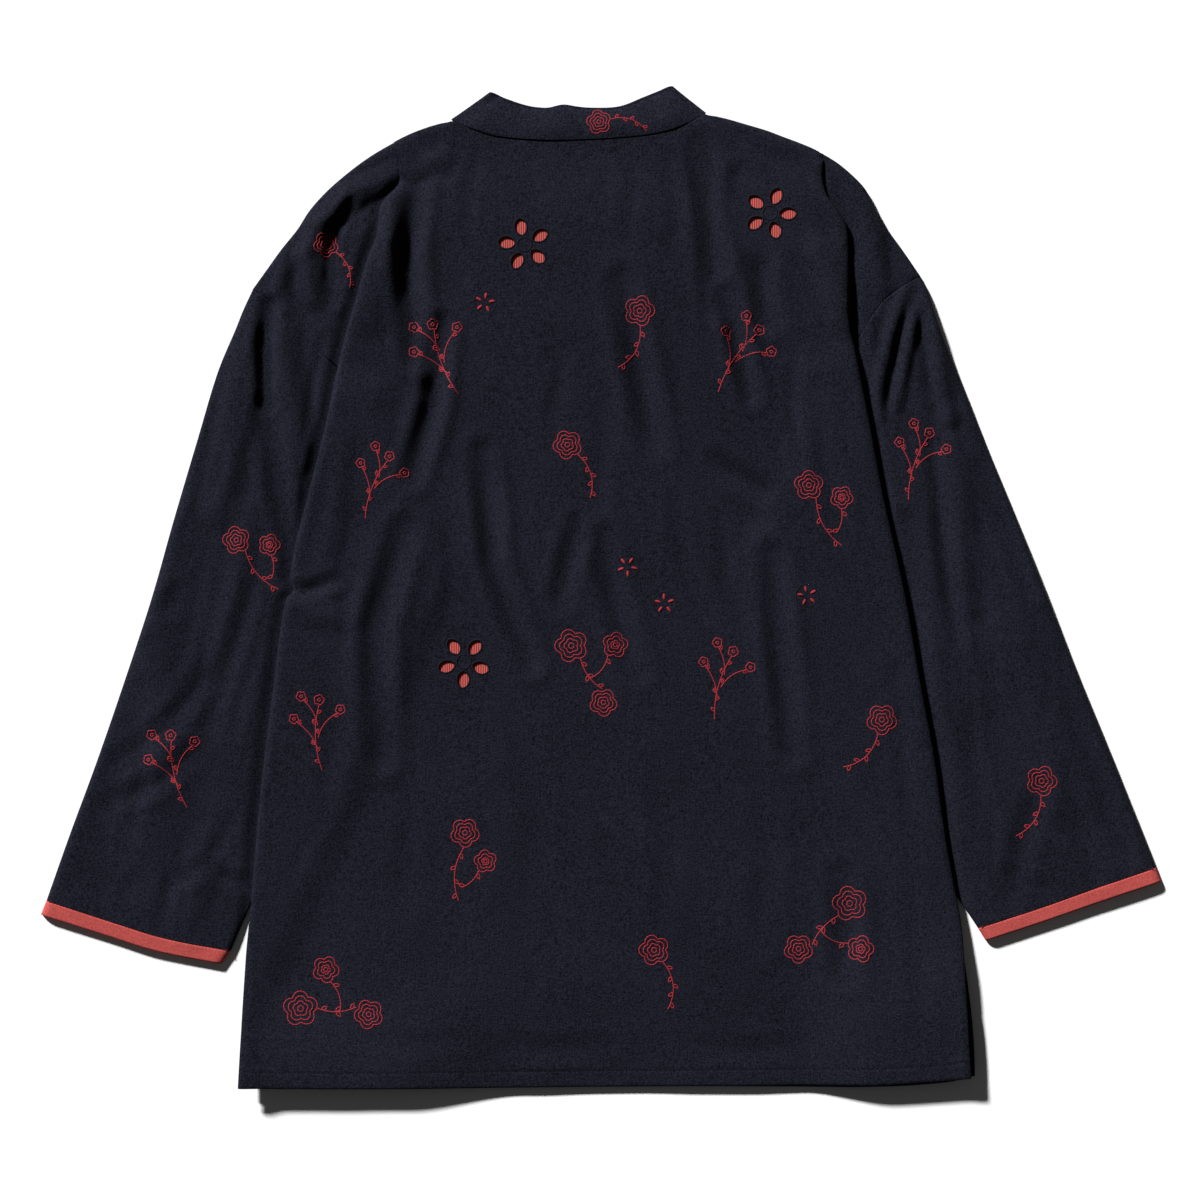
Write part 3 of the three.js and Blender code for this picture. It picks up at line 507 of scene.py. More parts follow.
def small_creases(seed, count, low, high, lean):
    """Short shallow creases scattered over an area, with a seeded hand."""
    pick = random.Random(seed)
    creases = []
    for _ in range(count):
        x = pick.uniform(low[0], high[0])
        y = pick.uniform(low[1], high[1])
        length = pick.uniform(18, 46)
        turn = math.radians(lean + pick.gauss(0, 22))
        dx = math.cos(turn) * length
        dy = math.sin(turn) * length
        bend = pick.uniform(-6, 6)
        width = pick.uniform(4, 8)
        height = pick.choice((-1, -1, 1)) * pick.uniform(0.2, 0.5)
        creases.append((x - dx, y - dy, x + bend, y, x + dx, y + dy, width, height))
    return creases


BACK_SCATTER = small_creases(3, 70, (-235, -350), (240, 330), -84)
LEFT_SCATTER = small_creases(5, 26, (-400, -250), (-230, 210), -112)
RIGHT_SCATTER = small_creases(8, 26, (230, -250), (400, 210), -68)


def ripple(x, y):
    """Slow unevenness of laid cloth."""
    waves = np.sin(x / 31 + 1.3 * np.sin(y / 57)) * np.cos(y / 43 + 0.8 * np.sin(x / 71))
    return 0.22 * waves + 0.12 * np.sin(x / 13.7 + y / 19.3) * np.sin(y / 15.1 - x / 23)


def calm(x, y):
    """Share of the folds left round the large blossoms, where the cloth lies flat."""
    share = np.ones_like(x)
    for bx, by, _ in BLOSSOMS:
        share = share * smooth((np.hypot(x - bx, y - by) - 27) / 20)
    return share


def back_swell(x, y):
    """Height of the back over its rim, never under a smooth least swell."""
    beside = sum(
        side.swell(y) * np.exp(-np.maximum(0, side.sign * (side.edge(y) - x)) / 42)
        for side in SIDES.values()
    )
    folds = FOLD_GAIN * fold_height(BACK_FOLDS, x, y, 0.65)
    folds = folds + fold_height(BACK_CREASES, x, y, 0.4) + fold_height(BACK_SCATTER, x, y, 0.3)
    crown = np.exp(-(((x + 8) / 150) ** 2)) * smooth((330 - y) / 60)
    middle = BACK_SWELL + (BACK_CROWN + CROWN_GAIN) * crown * (1 - smooth((-300 - y) / 80))
    base = middle + beside + folds * calm(x, y) + ripple(x, y)
    bend = LEAST_SWELL + SWELL_KNEE
    return np.where(base > bend, base, LEAST_SWELL + SWELL_KNEE * np.exp(np.minimum(0, base - bend) / SWELL_KNEE))


def hem_detail(x, below):
    """Turned hem: a slightly thicker band with a shallow stitched groove, rounded at its edge."""
    band = 0.3 * smooth((18 - below) / 7)
    groove = -0.3 * np.exp(-(((below - HEM_STITCH_LINE) / 0.8) ** 2))
    edge = -1.3 * (1 - rounded(below, EDGE_ROUND))
    waves = 1.1 * np.exp(-(((x - 96) / 60) ** 2)) + 0.7 * np.exp(-(((x + 60) / 40) ** 2))
    return band + groove + edge + waves * smooth(1 - below / 90)


def roll(points, edge, near, width, under=0.9):
    """Bends a border down round its edge: the new points, and each one's share of the full rise."""
    share = np.clip(distance(points, edge) / width, 0, 1)
    angle = lerp(-under, math.pi / 2, share)
    inwards = (near - edge) / distance(near, edge)[..., None]
    moved = edge + inwards * (width * (1 - np.cos(angle)))[..., None]
    rise = (np.sin(angle) + math.sin(under)) / (1 + math.sin(under))
    return np.where((share < 1)[..., None], moved, points), rise


def back_plan():
    def top(u):
        x = lerp(LEFT.edge_top[0], RIGHT.edge_top[0], u)
        shoulder = np.where(x < BACK_NECK[0][0], left_shoulder(x), right_shoulder(x))
        in_neck = (x >= BACK_NECK[0][0] - 1e-6) & (x <= BACK_NECK[-1][0] + 1e-6)
        return flat_points(x, np.where(in_neck, back_neck(x), shoulder))

    def bottom(u):
        x = lerp(LEFT.edge_end[0], RIGHT.edge_end[0], u)
        return flat_points(x, back_hem(x))

    def edge(side):
        def at(v):
            y = lerp(side.edge_top[1], side.edge_end[1], v)
            return flat_points(side.edge(y), y)
        return at

    return patch(top, bottom, edge(LEFT), edge(RIGHT))


def shoulder_swell(side, x, y):
    """Swell of the cloth between a side edge's fold and the armhole."""
    beyond = side.sign * (x - side.edge(y))
    opened = lerp(smooth((beyond - 1) / 11), 1, joined_share(side, y))
    return np.maximum(0.2, (SIDE_SWELL + side_detail(side, x, y)) * opened)


def joined_share(side, y):
    """Share by which the back runs smoothly into the left shoulder above its fold."""
    return smooth((y - 299) / 14) if side.sign < 0 else np.zeros_like(y)


def back_surface(u, v):
    plan = back_plan()
    zero = np.zeros_like(u)
    one = np.ones_like(u)
    points = plan(u, v)
    top = plan(u, zero)
    below = distance(points, plan(u, one))
    outside = np.maximum(BACK_NECK[0][0] - top[..., 0], top[..., 0] - BACK_NECK[-1][0])
    on_shoulder = smooth((outside + 4) / 12)
    x = points[..., 0]
    y = points[..., 1]
    rim = back_rim(x, y)
    swell = back_swell(x, y) + hem_detail(x, below)
    joined = joined_share(LEFT, y)
    rolled, left_rise = roll(points, plan(zero, v), plan(zero + 0.02, v), EDGE_ROLL)
    points = lerp(rolled, points, joined[..., None])
    left_rise = lerp(left_rise, 1, joined)
    inwards = np.maximum(0, x - LEFT.edge(y))
    swell = lerp(swell, shoulder_swell(LEFT, x, y), joined * (1 - smooth((inwards - 4) / 34)))
    points, right_rise = roll(points, plan(one, v), plan(one - 0.02, v), EDGE_ROLL)
    rolled, top_rise = roll(points, top, plan(u, zero + 0.02), EDGE_ROLL, 0.5)
    points = lerp(points, rolled, on_shoulder[..., None])
    from_neck = distance(points, top)
    neck_edge = -0.7 * (1 - rounded(from_neck, NECK_ROUND)) * (1 - on_shoulder)
    points[..., 2] = rim + (swell + neck_edge) * left_rise * right_rise * lerp(1, top_rise, on_shoulder)
    return points


def back_top(x, y):
    """Height of the back's middle surface away from its side edges."""
    return back_rim(x, y) + back_swell(x, y) + hem_detail(x, y - back_hem(x))


def wing_surface(side):
    """The part of the back between a side edge's fold and the dropped armhole seam."""
    start = side.edge_top
    shoulder = [row for row in side.shoulder if side.sign * (row[0] - start[0]) > 2]
    outer = curve([(start[0] - side.sign * 6, start[1] + 3), *shoulder])
    seam = side.armhole[:6]
    hem = curve([*seam[:5], (seam[5][0] - side.sign * 7, seam[5][1] - 3)])
    top_end = (start[0] - side.sign * 9, start[1] - 3)
    corner = hem(np.array([1.0]))[0]

    def inner(v):
        y = lerp(top_end[1], corner[1], v)
        x = side.edge(np.maximum(y, side.seam_end[1])) - side.sign * 7
        x = lerp(lerp(x, top_end[0], smooth(1 - v * 5)), corner[0], smooth(v * 8 - 7))
        return flat_points(x, y)

    ends = np.array([0.0])

    def top(u):
        return lerp(outer(ends), inner(ends), np.asarray(u)[..., None])

    plan = patch(top, hem, outer, inner)

    def surface(u, v):
        points = plan(u, v)
        x = points[..., 0]
        y = points[..., 1]
        rim = back_rim(x, y)
        beyond = side.sign * (x - side.edge(y))
        swell = shoulder_swell(side, x, y) - 0.7 * joined_share(side, y) * smooth((2 - beyond) / 3)
        to_seam = distance(points, plan(u, np.ones_like(v)))
        swell = swell - 1.1 * (1 - rounded(to_seam, SEAM_ROUND))
        outer_edge = np.zeros_like(u)
        points, rise = roll(points, plan(outer_edge, v), plan(outer_edge + 0.1, v), EDGE_ROLL, 0.5)
        points[..., 2] = rim + swell * rise
        return points

    return surface


def front_surface(side):
    middle = FRONT_CENTRE + side.sign * 0.6
    neck = [row for row in FRONT_NECK if side.sign * (row[0] - FRONT_CENTRE) > 1]
    neck_line = curve([(middle, FRONT_NECK_DROP), *(neck[::-1] if side.sign < 0 else neck)])
    shoulder_line = curve(side.shoulder)
    seam = curve(side.armhole[:6])
    hem_end = FRONT_HEM[0] if side.sign < 0 else FRONT_HEM[-1]
    neck_share = 0.42
    seam_share = 0.13

    def top(u):
        first = neck_line(np.clip(u / neck_share, 0, 1))
        second = shoulder_line(np.clip((u - neck_share) / (1 - neck_share), 0, 1))
        return np.where((u < neck_share)[..., None], first, second)

    def bottom(u):
        x = lerp(middle, hem_end[0], u)
        return flat_points(x, front_hem(x))

    def inner(v):
        return flat_points(np.full_like(v, middle), lerp(FRONT_NECK_DROP, front_hem(middle), v))

    def outer(v):
        y = lerp(side.seam_end[1], hem_end[1], np.clip((v - seam_share) / (1 - seam_share), 0, 1))
        vent = smooth((VENT_TOP - y) / 30) * smooth((VENT_TOP - y) / 110)
        x = lerp(side.seam_end[0], side.edge(y), smooth((side.seam_end[1] - y) / 12))
        below = flat_points(lerp(x, hem_end[0], vent), y)
        return np.where((v < seam_share)[..., None], seam(np.clip(v / seam_share, 0, 1)), below)

    plan = patch(top, bottom, inner, outer, 2.6)

    def surface(u, v):
        points = plan(u, v)
        points[..., 2] = front_height(points[..., 0], points[..., 1])
        return points

    return surface


def side_detail(side, x, y):
    """Folds and creases of one sleeve or shoulder."""
    scatter = LEFT_SCATTER if side.sign < 0 else RIGHT_SCATTER
    return sum(fold_height(rows, x, y) for rows in (side.folds, side.creases, scatter)) + ripple(x, y)


def sleeve_puff(side, x, y):
    """Swell of a sleeve's upper layer, from nothing where the back's side edge lies on it."""
    beyond = side.sign * (x - side.edge(y))
    return np.maximum(0, SIDE_SWELL + side_detail(side, x, y)) * smooth((beyond - 1) / 11)


def tube_surface(side, plan, start, end, drop=0.0, seam_dip=0.0):
    """A flattened tube: ring shares under 1 run along the floor, the rest come back on top."""
    middle = FLOOR_LAYER + SLEEVE_STEP / 2

    def surface(ring, share):
        v = lerp(start, end, share)
        on_top = ring >= 1
        u = np.where(on_top, ring - 1, 1 - ring)
        points = plan(u, v)
        zero = np.zeros_like(u)
        inside = np.minimum(distance(points, plan(zero, v)), distance(points, plan(zero + 1, v)))
        x = points[..., 0]
        y = points[..., 1]
        puff = np.maximum(0, sleeve_puff(side, x, y) - drop)
        tube = rounded(inside, TUBE_EDGE)
        from_seam = distance(points, plan(u, zero))
        puff = puff - seam_dip * (1 - rounded(from_seam, EDGE_ROUND))
        half = SLEEVE_STEP / 2
        points[..., 2] = middle + np.where(on_top, half * tube + puff * rounded(inside, EDGE_ROLL), -half * tube)
        return points

    return surface


def sleeve_surface(side):
    seam = curve(side.armhole[:6])
    corner, (x, y), *rest = side.armhole[5:]
    hidden = curve([corner, (x - side.sign * MOUTH_SHIFT, y), *rest])

    def armhole(u):
        first = seam(np.clip(u / SEAM_SHARE, 0, 1))
        second = hidden(np.clip((u - SEAM_SHARE) / (1 - SEAM_SHARE), 0, 1))
        return np.where((np.asarray(u) < SEAM_SHARE)[..., None], first, second)

    plan = patch(armhole, curve(side.cuff), curve(side.outer), curve(side.inner))
    return tube_surface(side, plan, 0.0004, 1, 0, 0.9)


def cuff_surface(side):
    def edge_line(i):
        a = np.array((*side.cuff[i], 0), float)
        b = np.array((*side.cuff_end[i], 0), float)
        return lambda t: lerp(a, b, np.asarray(t)[..., None])

    plan = patch(curve(side.cuff), curve(side.cuff_end), edge_line(0), edge_line(-1))
    return tube_surface(side, plan, 0.03, 1, 0.3)


def collar_rails():
    """Base and top edge of the collar band, station by station round the neck."""
    low_back = curve(BACK_NECK)
    high_back = curve(COLLAR_BACK_TOP)

    def front_part(sign):
        def rail(rows, end):
            part = [row for row in rows if sign * (row[0] - FRONT_CENTRE) > 1]
            return curve([end, *(part[::-1] if sign < 0 else part)])
        x = FRONT_CENTRE + sign * COLLAR_OPENING
        t = np.linspace(0, 1, 50)
        base = rail(FRONT_NECK, (x, FRONT_NECK_DROP))(t)
        top = rail(COLLAR_FRONT_TOP, (x, COLLAR_FRONT_END))(t)
        base[:, 2] = COLLAR_FLOOR
        top[:, 2] = COLLAR_FLOOR
        return base, top

    def fold_part(neck, peak):
        base = np.array((*neck, COLLAR_BASE_RISE), float)
        top = np.array(peak, float)
        outwards = np.array((base[1] - top[1], top[0] - base[0], 0))
        outwards /= np.linalg.norm(outwards)
        outwards *= 1 if outwards[1] > 0 else -1
        ends = []
        for end in (base, top):
            radius = (end[2] - COLLAR_FLOOR) / 2
            turns = np.linspace(-0.42, 0.42, 8) * math.pi
            swung = end + outwards * (radius * np.cos(turns))[:, None]
            swung[:, 2] = COLLAR_FLOOR + radius * (1 + np.sin(turns))
            ends.append(swung)
        return ends

    t = np.linspace(0, 1, 150)[1:-1]
    base = low_back(t)
    from_fold = np.minimum(base[:, 0] - BACK_NECK[0][0], BACK_NECK[-1][0] - base[:, 0])
    base[:, 2] = lerp(COLLAR_BASE_RISE, COLLAR_MIDDLE_RISE, smooth(from_fold / 18))
    parts = [front_part(-1), fold_part(BACK_NECK[0], COLLAR_BACK_TOP[0]), (base, high_back(t))]
    for low, high in (fold_part(BACK_NECK[-1], COLLAR_BACK_TOP[-1]), front_part(1)):
        parts.append((low[::-1], high[::-1]))
    low, high = (np.vstack(rail) for rail in zip(*parts))
    for corner in (COLLAR_BACK_TOP[0], COLLAR_BACK_TOP[-1]):
        away = np.linalg.norm(high[:, :2] - corner[:2], axis=1)
        near = np.flatnonzero(away < COLLAR_CORNER)
        middle = near[np.argmin(away[near])]
        t = 0.5 + np.sign(near - middle) * away[near] / (2 * COLLAR_CORNER)
        t = t[:, None]
        first, last = high[near[0], :2], high[near[-1], :2]
        peak = 1.6 * np.array(corner[:2]) - 0.3 * (first + last)
        high[near, :2] = bent(first, peak, last, t)
    return low, high


def collar_surface(u, v):
    """The collar band: on the floor in front, laid almost flat over the back neck."""
    low, high = collar_rails()
    place = u * (len(low) - 1)
    i = np.clip(place.astype(int), 0, len(low) - 2)
    t = (place - i)[..., None]
    base = lerp(low[i], low[i + 1], t)
    top = lerp(high[i], high[i + 1], t)
    points = lerp(base, top, lerp(0.012, 1, v)[..., None])
    on_back = smooth((base[..., 2] - 2.95) / 1.3)
    x = points[..., 0]
    low_top = base[..., 2] - COLLAR_TOP_DROP
    dents = 0.4 * np.sin(x / 11 + 1) * np.sin(x / 27) + 0.3 * np.sin(x / 7.3)
    laid = lerp(base[..., 2], low_top, v) + 1.5 * np.sin(np.pi * v ** 0.85) + dents * np.sin(np.pi * v / 1.3)
    points[..., 2] = lerp(points[..., 2], laid, on_back)
    points[..., 1] += on_back * v * (0.9 * np.exp(-((x + 28) / 7) ** 2) - 0.7 * np.exp(-((x + 40) / 6) ** 2))
    points[..., 2] -= on_back * 0.3 * np.exp(-(((1 - v) * 34 - 2.4) / 0.7) ** 2)
    return points


def shares(length, count, start=(0,), end=(0,)):
    """Shares from 0 to 1: given distances beside the two ends, even steps between."""
    first = [d / length for d in start]
    last = [1 - d / length for d in reversed(end)]
    between = np.linspace(first[-1], last[0], count + 1)[1:-1]
    return np.array([*first, *between, *last])


ROLL_STEPS = tuple(EDGE_ROLL * s for s in (0, 0.08, 0.17, 0.27, 0.38, 0.5, 0.64, 0.8, 1))
HEM_STEPS = (0, 0.25, 0.7, 1.4, 3, 6, 9, 10.6, 11.3, 12, 12.7, 13.4, 15)


def ring_shares(width, under, over):
    edge = [d / width for d in (0, 0.06, 0.25, 0.55, 0.9)]
    crown = [*edge, *(d / width for d in (1.6, 2.6, 3.9, 5.5))]
    bottom = [*edge[:-1], *np.linspace(edge[-1], 1 - edge[-1], under), *(1 - e for e in edge[-2::-1])]
    top = [*crown[1:-1], *np.linspace(crown[-1], 1 - crown[-1], over), *(1 - e for e in crown[-2::-1])]
    return np.array([*bottom, *(1 + t for t in top)])


def linked(name, data):
    obj = bpy.data.objects.new(name, data)
    bpy.context.scene.collection.objects.link(obj)
    return obj


def finished(name, bm, material, thickness=0.0):
    """Makes the object of a finished bmesh, with smooth faces and its cloth wall."""
    bmesh.ops.recalc_face_normals(bm, faces=bm.faces)
    for face in bm.faces:
        face.smooth = True
    mesh = bpy.data.meshes.new(name)
    bm.to_mesh(mesh)
    bm.free()
    obj = linked(name, mesh)
    mesh.materials.append(material)
    if thickness:
        wall = obj.modifiers.new("wall", "SOLIDIFY")
        wall.thickness = thickness
        wall.offset = 0
    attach(obj, "root")
    return obj


def add_grid(bm, us, vs, surface):
    """Adds a grid to a bmesh and moves each of its vertices onto a surface, in metres."""
    made = bmesh.ops.create_grid(bm, x_segments=len(us) - 1, y_segments=len(vs) - 1, size=1)
    verts = made["verts"]
    places = np.array([vert.co[:2] for vert in verts])
    i = np.rint((places[:, 0] + 1) / 2 * (len(us) - 1)).astype(int)
    j = np.rint((1 - places[:, 1]) / 2 * (len(vs) - 1)).astype(int)
    points = surface(np.asarray(us)[i], np.asarray(vs)[j]) * MM
    for vert, point in zip(verts, points):
        vert.co = point
    return verts


def petal_outline(blossom, petal, grow=0.0, steps=22):
    """Closed outline of one openwork petal in plan."""
    half = PETAL_WIDTH / 2
    end = PETAL_LENGTH / 2
    corners = [(0, -end), (half * 1.1, -PETAL_LENGTH * 0.32), (half * 1.2, PETAL_LENGTH * 0.34), (0, end)]
    t = np.linspace(0, 1, steps, endpoint=False)[:, None]
    a, b, c, d = (np.array(corner, float) for corner in corners)
    side = (1 - t) ** 3 * a + 3 * (1 - t) ** 2 * t * b + 3 * (1 - t) * t * t * c + t ** 3 * d
    other = (side * (-1, 1))[::-1]
    outline = np.vstack([side, d, other[:-1]])
    outline = outline * (1 + grow / np.array((half, end)))
    outline = outline + (0, PETAL_RING)
    turn = math.radians(blossom[2] + petal * 360 / PETALS)
    return outline @ spin(turn) + np.array(blossom[:2])


def inside_outline(points, outline):
    x, y = points[:, 0], points[:, 1]
    inside = np.zeros(len(points), bool)
    for (ax, ay), (bx, by) in zip(outline, np.roll(outline, -1, axis=0)):
        crosses = (ay > y) != (by > y)
        inside ^= crosses & (x < (bx - ax) * (y - ay) / np.where(by == ay, 1e-9, by - ay) + ax)
    return inside


def nearest_on_outline(points, outline):
    best = np.full(len(points), 1e9)
    found = points.copy()
    for a, b in zip(outline, np.roll(outline, -1, axis=0)):
        line = b - a
        t = np.clip(((points - a) @ line) / (line @ line), 0, 1)
        place = a + t[:, None] * line
        away = np.linalg.norm(points - place, axis=1)
        found = np.where((away < best)[:, None], place, found)
        best = np.minimum(best, away)
    return found, best


def faces_within(bm, centre, reach):
    return [face for face in bm.faces if (face.calc_center_median().xy - centre).length < reach * MM]


def cut_openwork(bm):
    """Cuts the petals through the back: finer cells there, snapped to the outlines, then opened."""
    for blossom in BLOSSOMS:
        centre = Vector(blossom[:2]) * MM
        edges = list({edge for face in faces_within(bm, centre, OPENWORK_ZONE) for edge in face.edges})
        bmesh.ops.subdivide_edges(bm, edges=edges, cuts=4, use_grid_fill=True)
        verts = [v for v in bm.verts if (v.co.xy - centre).length < OPENWORK_ZONE * MM]
        places = np.array([v.co[:2] for v in verts]) / MM
        for petal in range(PETALS):
            outline = petal_outline(blossom, petal)
            near, away = nearest_on_outline(places, outline)
            places = np.where((away < 0.42)[:, None], near, places)
        heights = back_top(places[:, 0], places[:, 1])
        for vert, place, height in zip(verts, places, heights):
            vert.co = (place[0] * MM, place[1] * MM, height * MM)
        faces = faces_within(bm, centre, OPENWORK_ZONE - 1)
        middles = np.array([f.calc_center_median()[:2] for f in faces]) / MM
        opened = np.zeros(len(faces), bool)
        for petal in range(PETALS):
            opened |= inside_outline(middles, petal_outline(blossom, petal))
        bmesh.ops.delete(bm, geom=[f for f, gone in zip(faces, opened) if gone], context="FACES")


def thread_piece(name, lines, radius, material, height, stitch=0.0, lay=0.5):
    """Threads laid on cloth: each line is a flat tube, pinched between stitches if they have a length."""
    data = bpy.data.curves.new(name, "CURVE")
    data.dimensions = "3D"
    data.bevel_depth = radius * MM
    data.bevel_resolution = 1
    data.use_fill_caps = True
    for line in lines:
        line = np.asarray(line, float)
        reach = np.concatenate([[0], np.cumsum(np.linalg.norm(np.diff(line, axis=0), axis=1))])
        if stitch:
            count = max(2, 2 * round(reach[-1] / stitch))
            at = np.linspace(0, reach[-1], count + 1)
            line = np.stack([np.interp(at, reach, line[:, k]) for k in range(2)], axis=-1)
        levels = height(line[:, 0], line[:, 1])
        spline = data.splines.new("POLY")
        spline.points.add(len(line) - 1)
        for k, (point, place, level) in enumerate(zip(spline.points, line, levels)):
            point.co = (place[0] * MM, place[1] * MM, level * MM, 1)
            point.radius = (0.55 if k % 2 == 0 else 1.12) if stitch else 1
    source = bpy.data.objects.new(name + "_line", data)
    mesh = bpy.data.meshes.new_from_object(source)
    bpy.data.objects.remove(source)
    bpy.data.curves.remove(data)
    bm = bmesh.new()
    bm.from_mesh(mesh)
    bpy.data.meshes.remove(mesh)
    places = np.array([vert.co for vert in bm.verts]) / MM
    levels = height(places[:, 0], places[:, 1])
    rises = levels + lay + (places[:, 2] - levels) * 0.55
    for vert, rise in zip(bm.verts, rises):
        vert.co.z = rise * MM
    return finished(name, bm, material, 0)


# Embroidery, drawn about its own origin in millimetres with its stem running down.
def flower_lines(x, y, radius, turn=0.0, rings=(1, 0.72, 0.44), eye=0.17):
    """A five-petal flower as nested scalloped outlines round a small eye."""
    t = np.linspace(0, 2 * math.pi, 81)
    lines = []
    for ring in rings:
        reach = radius * ring * (0.72 + 0.28 * np.abs(np.cos(2.5 * (t - turn))) ** 0.75)
        lines.append(np.stack([x + reach * np.cos(t), y + reach * np.sin(t)], axis=-1))
    if eye:
        lines.append(np.stack([x + radius * eye * np.cos(t[::6]), y + radius * eye * np.sin(t[::6])], axis=-1))
    return lines


def stem_line(start, end, bend):
    start = np.array(start, float)
    end = np.array(end, float)
    across = np.array((start[1] - end[1], end[0] - start[0])) / np.linalg.norm(end - start)
    middle = (start + end) / 2 + across * bend * 2
    return bent(start, middle, end, np.linspace(0, 1, 25)[:, None])


def leaf_line(root, turn, length):
    t = np.linspace(0, 1, 9)
    width = 0.26 * length * np.sin(math.pi * t ** 0.8)
    sides = np.concatenate([np.stack([t * length, width], -1), np.stack([t * length, -width], -1)[-2::-1]])
    return sides @ spin(turn) + root


def leafy_stem(start, end, bend, leaves, length=4.6):
    """A curved stem with small pointed leaves on alternate sides."""
    stem = stem_line(start, end, bend)
    lines = [stem]
    for k in range(leaves):
        i = round(lerp(3, 21, k / max(1, leaves - 1)))
        along = stem[i] - stem[i - 1]
        turn = math.atan2(along[1], along[0]) + (0.85 if k % 2 == 0 else -0.85)
        lines.append(leaf_line(stem[i], turn, length))
    return lines


def sprig():
    return [*flower_lines(0, 12, 11.5, 0.3), *leafy_stem((3.5, 1.5), (-4, -34), 6, 5)]


def paired_sprig():
    lines = [*flower_lines(-9, 16, 11, 0.1), *flower_lines(13, 1, 8.6, 0.8, (1, 0.66, 0.34))]
    return [*lines, *leafy_stem((-6, 5.4), (4, -34), -5, 4), *leafy_stem((10.6, -7.4), (2.6, -24), 2, 2)]


def twig():
    lines = leafy_stem((0, -30), (3, 22), 4, 6, 4)
    for end, root, bend in (((-16, 10), (-1.6, -12), -2), ((17, 14), (-0.4, -4), 3), ((-9, 27), (0.4, 6), -2)):
        lines.extend(leafy_stem(root, end, bend, 2, 3.8))
        away = np.array(end) - root
        middle = np.array(end) + away / np.linalg.norm(away) * 3.6
        lines.extend(flower_lines(*middle, 4, math.atan2(away[1], away[0]), (1,), 0.3))
    return [*lines, *flower_lines(3.4, 26, 4.2, 1.2, (1,), 0.3)]


def spray():
    """Three flowers of unlike size on one branching stem."""
    lines = [*flower_lines(-14, 18, 12.5, 0.5), *flower_lines(19, 14, 9.6, 0, (1, 0.68, 0.36))]
    lines.extend(flower_lines(4, -28, 10.4, 0.9))
    lines.extend(leafy_stem((-8.4, 7.6), (4.6, -17.6), -3, 3))
    lines.extend(leafy_stem((12.4, 7), tuple(lines[-4][14]), 3, 2))
    return lines


MOTIFS = {"sprig": sprig, "paired_sprig": paired_sprig, "twig": twig, "spray": spray}

# Embroidery on each cloth: (motif, x, y, turn in degrees, size).
EMBROIDERY = {
    "back": [
        ("twig", -120, 172, 24, 1), ("sprig", 26, 196, -16, 1), ("twig", 104, 172, -30, 1),
        ("sprig", -20, 96, 28, 0.95), ("paired_sprig", 170, 62, 14, 1), ("spray", -6, -62, 8, 1),
        ("twig", 92, -74, -12, 0.95), ("sprig", 206, -112, -34, 1), ("twig", -214, -112, 6, 0.95),
        ("paired_sprig", -100, -206, -20, 1), ("spray", 176, -262, -70, 1.05), ("spray", -204, -316, 64, 1.05),
        ("sprig", 44, -288, 18, 1), ("twig", -170, 76, -18, 0.9),
    ],
    "left_shoulder": [("sprig", -203, 250, 34, 0.8)],
    "left_sleeve": [("paired_sprig", -262, 24, 26, 0.95), ("twig", -322, -140, 16, 1)],
    "right_sleeve": [("twig", 240, 92, -14, 0.95), ("sprig", 330, -160, -20, 1)],
    "collar": [("sprig", 8, 350, 84, 0.8)],
}

# Small satin stars between the larger motifs: (x, y, turn in degrees).
STARS = [(-88, 214, 8), (20, 14, -14), (48, -14, 20), (156, -8, 30)]


def placed(lines, x, y, turn, size):
    """A motif's lines, sized, turned by degrees and moved to their place."""
    turned = spin(math.radians(turn))
    return [line * size @ turned + (x, y) for line in lines]


def carried_height(carrier):
    """Height of the middle of a cloth wall at places seen from above."""
    if carrier == "back":
        return back_top
    if carrier == "collar":
        u, v = np.meshgrid(np.linspace(0.28, 0.72, 160), np.linspace(0, 1, 40))
        cloth = collar_surface(u.ravel(), v.ravel())

        def on_collar(x, y):
            nearest = [np.argmin((cloth[:, 0] - a) ** 2 + (cloth[:, 1] - b) ** 2) for a, b in zip(x, y)]
            return cloth[nearest, 2]

        return on_collar
    side = LEFT if carrier.startswith("left") else RIGHT
    if carrier.endswith("sleeve"):
        return lambda x, y: FLOOR_LAYER + SLEEVE_STEP + sleeve_puff(side, x, y)

    return lambda x, y: back_rim(x, y) + shoulder_swell(side, x, y)


class Value:
    """A shader socket that takes part in Python expressions."""

    def __init__(self, shade, socket):
        self.shade = shade
        self.socket = socket

    def math(self, operation, *values):
        return self.shade.node("ShaderNodeMath", {"operation": operation}, dict(enumerate(values)))

    def __add__(self, other):
        return self.math("ADD", self, other)

    def __mul__(self, other):
        return self.math("MULTIPLY", self, other)

    def __sub__(self, other):
        return self.math("SUBTRACT", self, other)

    def __rsub__(self, other):
        return self.math("SUBTRACT", other, self)

    __radd__ = __add__
    __rmul__ = __mul__

    def sine(self):
        return self.math("SINE", self)


